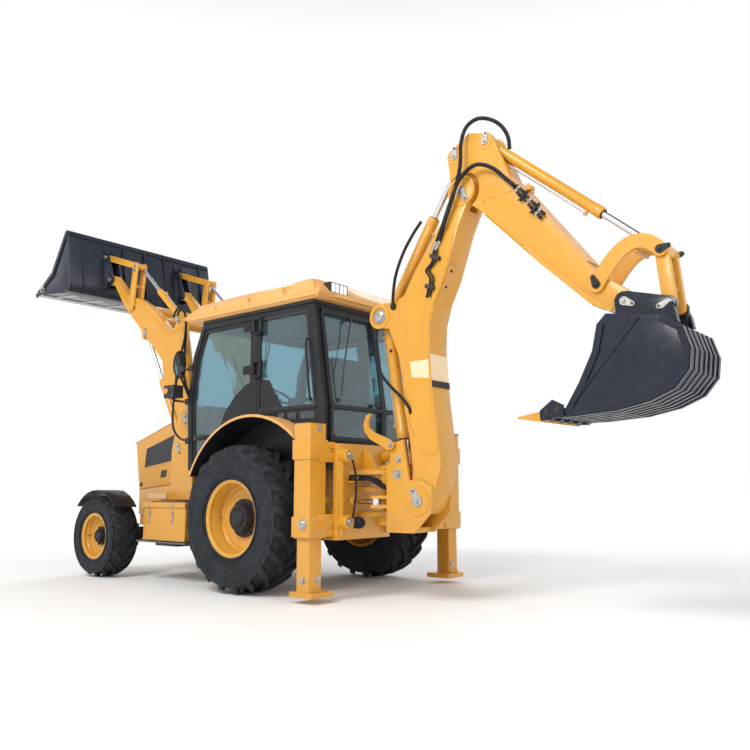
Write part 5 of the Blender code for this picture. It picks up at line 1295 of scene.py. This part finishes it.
# hose bracket with its ports, and the accumulator below
shift.box((-1.115, REAR_FACE), (0.28, 0.69), (0.955, 0.967), PAINT)
shift.box((-1.085, REAR_FACE), (0.43, 0.66), (0.975, 1.010), CASTING)
for k in range(5):
    y = 0.455 + 0.043 * k
    shift.rod(at(-1.085, y, 0.992), at(-1.112, y, 0.992), 0.014, ZINC, 6)
shift.turned([(0.0, 0.0), (0.046, 0.0), (0.050, 0.030), (0.047, 0.062), (0.032, 0.084),
              (0.0, 0.092)], at(REAR_FACE, 0.575, 0.625), (-1, 0, 0), HOSE, 32)
for y in (0.29, 0.63):
    shift.turned([(0.024, 0.0), (0.044, 0.0), (0.044, 0.03), (0.024, 0.03)], at(-1.05, y, 0.80),
                 (-1, 0, 0), PAINT, 24)
shift.make("carriage_fittings", "carriage", "machine_paint", 0.002, (), 40)

for k in range(4):
    line = Shape()
    y = 0.500 + 0.040 * k
    drop = 0.012 * k
    line.hose([at(-1.112, y, 0.992), at(-1.16, y + 0.003, 0.990), at(-1.25, y + 0.01, 0.972),
               at(-1.33, y - 0.01 - 0.01 * k, 0.950 - drop),
               at(-1.40, 0.50 + 0.018 * k, 0.915 - drop),
               at(-1.44, 0.485 + 0.015 * k, 0.880 - drop)], 0.0115, HOSE, 10)
    crossing(line, "swing_hose_%d" % k, "carriage", "kingpost", at(-1.13, DIG_Y, 0.95),
             at(-1.40, DIG_Y, 0.95))

# ---------------------------------------------------------------- rear frame and legs
rear = Shape()
for side in (-1, 1):
    y = side * LEG_Y
    for z in (1.22, 0.60):
        rear.box((-0.986, -0.978), (y - 0.075, y + 0.075), (z - 0.05, z + 0.05), PAINT)
    rear.pin(at(-0.905, side * 1.067, 0.622), (0, side, 0), 0.034, ZINC)
    rear.bolt(at(-0.970, y - side * 0.015, 1.392), (-1, 0, 0), 0.017, ZINC)
    rear.box((-0.975, -0.785), (y - 0.095, y + 0.095), (1.434, 1.444), CASTING)
    # lugs that clamp the sleeve to the beams
    for z0, z1 in ((1.15, 1.20), (1.235, 1.285), (0.53, 0.575), (0.625, 0.67)):
        ys = sorted((side * 0.862, side * 0.79))
        rear.box((-0.998, -0.955), ys, (z0, z1), PAINT)
rear.box((-0.992, -0.984), (-0.86, 0.86), (1.135, 1.150), PAINT)
rear.box((-0.992, -0.984), (-0.86, 0.86), (1.210, 1.225), PAINT)
for y in (-0.60, -0.35, -0.10):
    rear.bolt(at(-0.985, y, 0.61), (-1, 0, 0), 0.016, CASTING)
rear.make("rear_frame_fittings", "chassis", "machine_paint", 0.002, (), 40)

for word, side in SIDES:
    leg = Shape()
    y = side * LEG_Y
    leg.bolt(at(-0.951, y - 0.035 * side, 0.183), (-1, 0, 0), 0.020, ZINC)
    leg.bolt(at(-0.88, side * 1.036, 0.183), (0, side, 0), 0.020, ZINC)
    for dx in (-0.045, 0.030):
        leg.box((-0.9512, -0.9485), (y + dx - 0.002, y + dx + 0.004), (0.24, 0.48), PAINT)
    leg.cross([(y - 0.069, 0.094), (y + 0.069, 0.094), (y + 0.050, 0.125), (y - 0.050, 0.125)],
              -0.965, -0.951, PAINT)
    leg.box((-1.004, -0.756), sorted((side * 0.804, side * 1.056)), (0.0505, 0.058), CASTING)
    leg.make("leg_fittings_" + word, "leg_" + word, "machine_paint", 0.002, (), 40)


# ---------------------------------------------------------------- fenders and lamps
FENDER_INSIDE = 0.8885
for word, side in SIDES:
    guard = Shape()
    # black sheets under the arch and on its inner wall: painted shade where the arch over the tyre
    # lies in shadow
    rows = [[at(x, side * y, z) for x, z in arc(FENDER_CENTRE, FENDER_INSIDE, 25, 123, 14)]
            for y in (0.6265, 0.9785)]
    guard.grid(rows if side > 0 else rows[::-1], BLACK)
    arch_shade_outline = arc(FENDER_CENTRE, FENDER_INSIDE, 25, 123, 14) + [(-0.60, 1.03)]
    guard.plate(arch_shade_outline, side * 0.6255, side * 0.6285, BLACK)
    # the lip takes the paler yellow, a painted highlight
    lip = [at(x, side * 0.972, z) for x, z in arc(FENDER_CENTRE, 0.906, 25, 129, 26)]
    guard.hose(lip, 0.009, TOP_LIT_PAINT, 10, 1)
    # rear shelf of the fender with its lamp; the shelf takes the paler yellow, a painted highlight
    guard.plate([(-0.690, 1.352), (-0.830, 1.372), (-0.842, 1.338), (-0.835, 1.326),
                 (-0.690, 1.330)], side * 0.607, side * 0.858, BLACK)
    shelf = arc(FENDER_CENTRE, 0.915, 127, 120, 3) + [(-0.60, 1.452), (-0.815, 1.424),
                                                      (-0.838, 1.374), (-0.700, 1.352)]
    guard.plate(shelf, side * 0.607, side * 0.858, TOP_LIT_PAINT)
    guard.plate([(-0.705, 1.436), (-0.826, 1.420), (-0.856, 1.372), (-0.850, 1.348),
                 (-0.705, 1.356)], side * 0.620, side * 0.845, RED_LENS)
    guard.make("fender_arch_shade_and_shelf_" + word, "chassis", "roof_paint", 0.002, (), 40)

lamps = Shape()
for word, side in SIDES:
    y = side * 0.86
    # mirror: a deep oval shell with its glass facing back
    head = at(1.072, y, 2.13)
    rows = []
    for x, grow in ((-0.020, 0.93), (-0.022, 1.0), (0.0, 1.0), (0.022, 0.86), (0.034, 0.55),
                    (0.037, 0.05)):
        rows.append([head + Vector((x, 0.070 * grow * math.cos(a),
                                    0.140 * grow * math.copysign(abs(math.sin(a)) ** 0.85,
                                                                 math.sin(a))))
                     for a in [math.radians(12 * k) for k in range(30)]])
    lamps.grid(rows, BLACK, True)
    rim = [head + Vector((-0.0195, 0.068 * math.cos(a), 0.137 * math.sin(a)))
           for a in [math.radians(12 * k) for k in range(30)]]
    lamps.add(rim, [tuple(range(29, -1, -1))], MIRROR)
    lamps.hose([at(1.09, y, 2.04), at(1.105, y, 1.98), at(1.12, y, 1.92)], 0.012, BLACK)
    lamps.hose([at(0.985, side * 0.765, 2.10), at(1.04, side * 0.80, 2.08),
                at(1.10, y, 2.03), at(1.125, y, 1.95)], 0.010, BLACK)
    lamps.hose([at(1.03, side * 0.765, 1.76), at(1.08, side * 0.80, 1.765),
                at(1.15, side * 0.85, 1.78), at(1.17, side * 0.86, 1.81)], 0.011, BLACK)
    lamps.hose([at(1.135, y, 1.82), at(1.15, y, 1.68), at(1.145, side * 0.85, 1.50),
                at(1.09, side * 0.81, 1.40), at(1.005, side * 0.765, 1.37)], 0.011, BLACK)
    lamps.box((1.075, 1.235), (side * 0.800, side * 0.915), (1.800, 1.925), PLASTIC)
    lamps.box((1.235, 1.245), (side * 0.812, side * 0.903), (1.812, 1.913), WHITE_LENS)
    lamps.turned([(0.0, 0.0), (0.030, 0.0), (0.030, 0.008), (0.022, 0.014), (0.0, 0.016)],
                 at(1.195, side * 0.915, 1.868), (0, side, 0), ORANGE_LENS, 24)
    for z in (1.815, 1.905):
        lamps.bolt(at(1.10, side * 0.915, z), (0, side, 0), 0.006, ZINC, False)
    # clamps on the pillar
    for x, z in ((0.99, 2.10), (1.03, 1.76), (1.008, 1.37)):
        lamps.box((x - 0.04, x + 0.02), (side * 0.752, side * 0.792), (z - 0.03, z + 0.03),
                  PLASTIC)
lamps.make("mirrors_and_lamps", "chassis", "black_paint", 0.003, (), 40)

# ---------------------------------------------------------------- hood
hood = Shape()
HOOD_SIDE = 0.42
for side in (-1, 1):
    y = side * HOOD_SIDE
    outer = [(2.235, 1.350), (2.268, 1.112), (1.605, 1.200), (1.605, 1.520)]
    inner = [(2.215, 1.340), (2.244, 1.132), (1.622, 1.214), (1.622, 1.503)]
    ring(hood, outer, inner, y, y + side * 0.006, PAINT)
    # the vent mesh carries painted shade in its holes
    hood.plate(inner, y, y + side * 0.0025, VENT)
    for k in range(5):
        low = 1.215 + 0.040 * k
        hood.plate([(1.622, low + 0.02), (2.236 - 0.006 * k, low - 0.045),
                    (2.236 - 0.006 * k, low - 0.040), (1.622, low + 0.025)], y,
                   y + side * 0.004, BLACK)
    small = [(1.935, 1.095), (1.945, 1.015), (1.840, 1.030), (1.830, 1.108)]
    hood.plate(small, y, y + side * 0.003, VENT)
    for x, z in ((2.30, 0.94), (1.30, 1.03)):
        hood.box((x - 0.018, x + 0.018), sorted((y, y + side * 0.010)), (z - 0.012, z + 0.028),
                 CASTING)
        hood.bolt(at(x, y + side * 0.010, z + 0.012), (0, side, 0), 0.008, ZINC, False)
band(hood, [(1.21, 1.7585), (1.77, 1.6105), (2.42, 1.4155), (2.447, 1.404)], -0.424, 0.424, 0.004,
     PAINT)
# grille between the head lamps
SLOPE = (2.335, 0.895, 2.42, 1.385)


def nose(z, out=0.0):
    share = (z - SLOPE[1]) / (SLOPE[3] - SLOPE[1])
    return SLOPE[0] + (SLOPE[2] - SLOPE[0]) * share + out


hood.plate([(nose(0.95), 0.95), (nose(1.34), 1.34), (nose(1.34, 0.004), 1.34),
            (nose(0.95, 0.004), 0.95)], -0.22, 0.22, VENT)
for k in range(8):
    z = 0.965 + 0.051 * k
    hood.plate([(nose(z), z), (nose(z, 0.014), z - 0.004), (nose(z, 0.014), z + 0.006),
                (nose(z), z + 0.012)], -0.225, 0.225, PLASTIC)
for y0, y1 in ((-0.235, -0.220), (0.220, 0.235)):
    hood.plate([(nose(0.94), 0.94), (nose(1.35), 1.35), (nose(1.35, 0.016), 1.35),
                (nose(0.94, 0.016), 0.94)], y0, y1, PLASTIC)
for side in (-1, 1):
    for z, radius in ((1.255, 0.062), (1.105, 0.048)):
        centre = at(nose(z), side * 0.32, z)
        axis = Vector((0.985, 0.0, -0.171))
        hood.turned([(0.0, 0.0), (radius + 0.012, 0.0), (radius + 0.012, 0.016),
                     (radius, 0.020), (radius, 0.010)], centre, axis, PLASTIC, 32)
        hood.turned([(radius, 0.008), (0.7 * radius, 0.020), (0.0, 0.026)], centre, axis,
                    WHITE_LENS, 32)
hood.make("hood_fittings", "hood", "machine_paint", 0.0015, (), 40)

# ---------------------------------------------------------------- sides of the chassis
sides = Shape()
for side in (-1, 1):
    y = side * HOOD_SIDE
    sides.plate([(1.205, 0.990), (2.335, 0.890), (2.335, 0.896), (1.205, 0.996)], y,
                y + side * 0.0015, HOSE)
    sides.box((1.575, 1.90), sorted((side * 0.424, side * 0.60)), (0.838, 0.856), PLATFORM)
    sides.box((1.575, 1.90), sorted((side * 0.588, side * 0.60)), (0.800, 0.838), PLATFORM)
    sides.plate([(1.60, 0.838), (1.86, 0.838), (1.86, 0.820), (1.60, 0.66)], side * 0.424,
                side * 0.436, PAINT)
    # step plates under the side boxes, on rubber
    sides.box((0.80, 1.60), sorted((side * 0.50, side * 0.925)), (0.378, 0.392), GREY_PLASTIC)
    sides.box((0.96, 1.30), sorted((side * 0.56, side * 0.90)), (0.352, 0.378), VINYL)
    for x in (0.86, 1.50):
        sides.bolt(at(x, side * 0.86, 0.392), (0, 0, 1), 0.010, ZINC)
    # couplings and short hoses ahead of the cab's corner
    for k in range(4):
        x = 1.00 + 0.035 * k
        sides.rod(at(x, side * 0.50, 0.86), at(x, side * 0.50, 0.91), 0.011, ZINC, 6)
        sides.hose([at(x, side * 0.50, 0.91), at(x + 0.004, side * 0.505, 1.00),
                    at(x + 0.02, side * 0.47, 1.10), at(x + 0.03, side * 0.42, 1.15)], 0.008,
                   HOSE, 10)
    # tower pins
    for pin, radius in ((ARM_PIVOT, 0.036), (LIFT_BASE, 0.030)):
        lock_plate(sides, pin, side * 0.5770, side, 250, ZINC, 0.07, radius)
    sides.turned([(0.042, 0.0), (0.085, 0.0), (0.085, 0.005), (0.042, 0.005)],
                 in_xz(ARM_PIVOT, side * 0.5770), (0, side, 0), PAINT, 32, False)
    # cab mounts' rubber and the cab's lower sill
    sides.box((0.10, 0.96), sorted((side * 0.72, side * 0.776)), (1.060, 1.080), PLASTIC)
# steps up to the left and right doors
for side in (-1, 1):
    for z in (0.62, 0.86):
        sides.box((0.745, 0.835), sorted((side * 0.60, side * 0.86)), (z, z + 0.016), CASTING)
    for x in (0.750, 0.826):
        sides.rod(at(x, side * 0.62, 0.60), at(x, side * 0.62, 1.075), 0.010, BLACK, 12)
# filler cap and gauge on the tank
sides.turned([(0.0, 0.0), (0.060, 0.0), (0.062, 0.010), (0.058, 0.030), (0.0, 0.034)],
             at(1.02, -0.76, 0.836), (0, 0, 1), HOSE, 32)
for k in range(12):
    turn = math.radians(30 * k)
    sides.rod(at(1.02 + 0.059 * math.cos(turn), -0.76 + 0.059 * math.sin(turn), 0.842),
              at(1.02 + 0.059 * math.cos(turn), -0.76 + 0.059 * math.sin(turn), 0.862), 0.006,
              HOSE, 6)
for x in (0.98, 1.38):
    sides.box((x - 0.02, x + 0.02), (-0.9035, -0.9000), (0.398, 0.775), CASTING)
    sides.box((x - 0.02, x + 0.02), (-0.9035, -0.43), (0.7700, 0.7735), CASTING)
sides.make("side_fittings", "chassis", "machine_paint", 0.002, (), 40)

# front axle, its tie rod and steering cylinder
axle = Shape()
axle.rod(at(TIE_ROD_X, -0.58, 0.40), at(TIE_ROD_X, 0.58, 0.40), 0.018, CASTING, 20)
axle.rod(at(TIE_ROD_X, -0.22, 0.40), at(TIE_ROD_X, 0.22, 0.40), 0.034, BLACK, 24,
         0.004)
for side in (-1, 1):
    axle.turned([(0.0, 0.0), (0.026, 0.0), (0.030, 0.02), (0.026, 0.04), (0.0, 0.04)],
                at(TIE_ROD_X, side * 0.56, 0.40), (0, side, 0), HOSE, 20)
axle.make("steering_cylinder", "chassis", "casting", 0.0, (), 40)

# ---------------------------------------------------------------- toolbox
lid = Shape()
lid.box((0.832, 1.528), (0.9035, 0.9125), (0.722, 0.770), PAINT)
lid.box((0.90, 1.46), (0.65, 0.86), (0.7702, 0.7750), GREY_PLASTIC)
for k in range(9):
    x = 0.93 + 0.0625 * k
    lid.box((x, x + 0.03), (0.66, 0.85), (0.7750, 0.7785), GREY_PLASTIC)
for x in (1.04, 1.42):
    lid.box((x - 0.016, x + 0.016), (0.9125, 0.9170), (0.728, 0.762), ZINC)
    lid.hose([at(x - 0.009, 0.9165, 0.745), at(x - 0.009, 0.9200, 0.712),
              at(x, 0.9200, 0.700), at(x + 0.009, 0.9200, 0.712), at(x + 0.009, 0.9165, 0.745)],
             0.0025, ZINC, 8)
lid.make("toolbox_lid_fittings", "toolbox_lid", "machine_paint", 0.0015, (), 40)
box_front = Shape()
for x in (1.04, 1.42):
    box_front.box((x - 0.014, x + 0.014), (0.900, 0.9045), (0.560, 0.690), ZINC)
    box_front.box((x - 0.009, x + 0.009), (0.9045, 0.9130), (0.630, 0.682), ZINC)
    for z in (0.572, 0.600):
        box_front.bolt(at(x, 0.9045, z), (0, 1, 0), 0.005, CASTING, False)
box_front.box((0.838, 1.522), (0.900, 0.9018), (0.402, 0.420), PAINT)
box_front.make("toolbox_latches", "chassis", "casting", 0.0012, (), 40)

# ---------------------------------------------------------------- loader
arms = Shape()
for side in (-1, 1):
    y = side * (ARM_Y + 0.040)
    boss = side * (ARM_Y + 0.0442)
    lock_plate(arms, BUCKET_PIN, boss, side, 232, ZINC, 0.055, 0.026)
    lock_plate(arms, LEVER_PIVOT, boss, side, 200, ZINC, 0.06, 0.028)
    lock_plate(arms, LIFT_ROD_PIN, y + side * 0.0005, side, 95, ZINC, 0.055, 0.026)
    lock_plate(arms, TILT_BASE, y + side * 0.0005, side, 60, ZINC, 0.055, 0.026)
    # stiffening plate on the outside of the arm
    cover = [(1.455, 2.30), (1.50, 2.545), (1.72, 2.545), (1.905, 2.715), (2.08, 2.862),
             (2.28, 2.975), (2.42, 2.92), (2.34, 2.845), (1.770, 2.325), (1.700, 2.06),
             (1.52, 1.80), (1.405, 1.80)]
    arms.plate(cover, y, y + side * 0.004, PAINT)
    # hoses at the elbow
    for k in range(2):
        out = side * (ARM_Y + 0.058 + 0.026 * k)
        arms.hose([at(1.405 + 0.03 * k, out, 2.10), at(1.395 + 0.02 * k, out, 2.30),
                   at(1.375 - 0.02 * k, out, 2.50), at(1.385 - 0.03 * k, out, 2.70),
                   at(1.46, out - side * 0.01, 2.815 + 0.02 * k),
                   at(1.56 + 0.02 * k, out - side * 0.035, 2.80),
                   at(1.62 + 0.02 * k, out - side * 0.05, 2.755)], 0.0115, HOSE, 10)
        arms.rod(at(1.398 + 0.02 * k, out, 2.24), at(1.393 + 0.02 * k, out, 2.30), 0.0155, ZINC, 6)
    arms.box((1.375, 1.455), sorted((side * (ARM_Y + 0.042), side * (ARM_Y + 0.105))),
             (2.185, 2.215), CASTING)
for x, z, radius in ((2.20, 2.92, 0.055), (1.93, 2.75, 0.055)):
    for side in (-1, 1):
        arms.turned([(radius, 0.0), (radius + 0.016, 0.0), (radius + 0.002, 0.014)],
                    at(x, side * (ARM_Y - 0.041), z), (0, -side, 0), PAINT, 32)
arms.hose([at(1.98, 0.30, 2.80), at(1.99, 0.10, 2.815), at(1.99, -0.10, 2.815),
           at(1.98, -0.30, 2.80)], 0.010, HOSE, 10)
arms.make("loader_arm_fittings", "loader_arms", "machine_paint", 0.002, (), 40)

bucket = Shape()
bucket.plate([(3.60, 3.2100), (3.795, 3.2300), (3.795, 3.2390), (3.60, 3.2260)], -1.022, 1.022,
             EDGE_STEEL)
bucket.plate([(3.084, 3.860), (3.098, 3.912), (3.146, 3.934), (3.158, 3.905), (3.140, 3.924),
              (3.102, 3.898)], -1.020, 1.020, SCOOP_PAINT)
for side in (-1, 1):
    y = side * 1.0205
    rim_path = [(3.145, 3.915), (3.42, 3.460), (3.775, 3.240)]
    band(bucket, rim_path, y, y + side * 0.012, -0.050, SCOOP_PAINT)
    band(bucket, [(3.105, 3.165), (3.03, 3.175), (2.987, 3.22), (2.987, 3.29), (3.10, 3.90)], y,
         y + side * 0.006, -0.030, SCOOP_PAINT)
    bucket.plate([(3.56, 3.245), (3.775, 3.245), (3.60, 3.345)], y, y + side * 0.016, EDGE_STEEL)
    for x, z in ((3.60, 3.27), (3.68, 3.265)):
        bucket.bolt(at(x, y + side * 0.016, z), (0, side, 0), 0.011, CASTING)
    ear = side * (ARM_Y + 0.0648)
    lock_plate(bucket, BUCKET_PIN, ear, side, 40, ZINC, 0.055, 0.026)
    lock_plate(bucket, BUCKET_LINK_PIN, ear, side, 20, ZINC, 0.050, 0.024)
for y in (-0.86, -0.30, 0.0, 0.30, 0.86):
    rib = [(2.985, 3.22), (2.985, 3.29), (3.10, 3.88), (3.082, 3.885), (2.963, 3.292),
           (2.963, 3.215), (3.02, 3.163), (3.03, 3.175)]
    bucket.plate(rib, y - 0.007, y + 0.007, SCOOP_PAINT)
for k in range(6):
    y = -0.85 + 0.34 * k
    bucket.plate([(3.12, 3.1672), (3.58, 3.2145), (3.58, 3.2085), (3.12, 3.1602)], y - 0.035,
                 y + 0.035, EDGE_STEEL)
bucket.make("loader_bucket_plates", "loader_bucket", "bucket_paint", 0.002, (), 40)

for word, side in SIDES:
    for k in range(2):
        line = Shape()
        out = side * (0.600 + 0.024 * k)
        line.hose([at(1.13, side * 0.50, 1.12), at(1.15, out - side * 0.03, 1.20 + 0.03 * k),
                   at(1.17, out, 1.34), at(1.15, out, 1.55), at(1.19, out, 1.78),
                   at(1.29, out, 1.95), at(1.375 + 0.03 * k, side * (0.575 + 0.02 * k), 2.06),
                   at(1.405 + 0.03 * k, side * (0.568 + 0.026 * k), 2.13)], 0.0115, HOSE, 10)
        crossing(line, "loader_hose_%s_%d" % (word, k), "chassis", "loader_arms",
                 at(1.16, 0, 1.40), at(1.38, 0, 2.06))

for word, side in SIDES:
    low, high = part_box("tilt_lever_" + word)
    outer = high.y if side > 0 else low.y
    lever = Shape()
    lock_plate(lever, LEVER_TOP, outer, side, 275, ZINC, 0.055, 0.026)
    lever.make("lever_pins_" + word, "tilt_levers", "machine_paint", 0.0015, (), 40)


# ---------------------------------------------------------------- floor, light and camera
floor = bpy.data.meshes.new("floor")
floor.from_pydata([(-60, -60, 0), (60, -60, 0), (60, 60, 0), (-60, 60, 0)], [], [(0, 1, 2, 3)])
floor = bpy.data.objects.new("floor", floor)
bpy.context.scene.collection.objects.link(floor)
ground = Nodes("studio_floor")
ground.set(Base_Color=colour(0.97, 0.97, 0.97), Roughness=0.8, Specular_IOR_Level=0.2)
# the floor brightens with distance, so that it meets the white backdrop without a line
away = ground.node("ShaderNodeVectorMath", Vector=ground.place)
away.operation = "LENGTH"
ground.set(Emission_Color=colour(1.0, 1.0, 1.0),
           Emission_Strength=ground.ramp(away.outputs["Value"], 4.0, 16.0, 0.0, 0.6))
floor.data.materials.append(ground.material)

world = bpy.data.worlds.new("studio")
bpy.context.scene.world = world
world.use_nodes = True
# white round the horizon, dimmer overhead, so that the lights shape the machine
backdrop = world.node_tree.nodes["Background"]
sky = world.node_tree.nodes.new("ShaderNodeTexCoord")
split = world.node_tree.nodes.new("ShaderNodeSeparateXYZ")
fade = world.node_tree.nodes.new("ShaderNodeMapRange")
world.node_tree.links.new(sky.outputs["Generated"], split.inputs["Vector"])
world.node_tree.links.new(split.outputs["Z"], fade.inputs["Value"])
for key, number in (("From Min", 0.52), ("From Max", 0.80), ("To Min", 1.0), ("To Max", 0.30)):
    fade.inputs[key].default_value = number
world.node_tree.links.new(fade.outputs["Result"], backdrop.inputs["Strength"])
backdrop.inputs["Color"].default_value = colour(1.0, 1.0, 1.0)
bpy.context.scene.view_settings.view_transform = "Standard"


def area_light(name, place, target, size, power, tint=(1.0, 1.0, 1.0)):
    data = bpy.data.lights.new(name, "AREA")
    data.shape = "RECTANGLE"
    data.size, data.size_y = size
    data.energy = power
    data.color = tint
    light = bpy.data.objects.new(name, data)
    light.location = place
    light.rotation_euler = (Vector(target) - Vector(place)).to_track_quat("-Z", "Y").to_euler()
    bpy.context.scene.collection.objects.link(light)


area_light("key", (-1.5, 8.5, 8.5), (0.0, 0.0, 1.2), (4.0, 4.0), 700.0, (1.0, 0.98, 0.95))
area_light("fill", (-8.0, 1.0, 5.0), (0.0, 0.0, 1.5), (6.0, 4.0), 90.0)
area_light("rim", (5.0, -7.0, 7.0), (0.0, 0.0, 1.5), (5.0, 4.0), 260.0)

camera = bpy.data.objects.new("camera", bpy.data.cameras.new("camera"))
bpy.context.scene.collection.objects.link(camera)
bpy.context.scene.camera = camera
CAMERA_YAW = math.radians(50.05)
CAMERA_PITCH = math.radians(8.07)
camera.location = at(-5.4532, 5.5998, 0.9169)
looking = Vector((math.cos(CAMERA_YAW) * math.cos(CAMERA_PITCH),
                  -math.sin(CAMERA_YAW) * math.cos(CAMERA_PITCH), math.sin(CAMERA_PITCH)))
camera.rotation_euler = looking.to_track_quat("-Z", "Y").to_euler()
camera.data.lens = 37.98
camera.data.sensor_width = 36.0
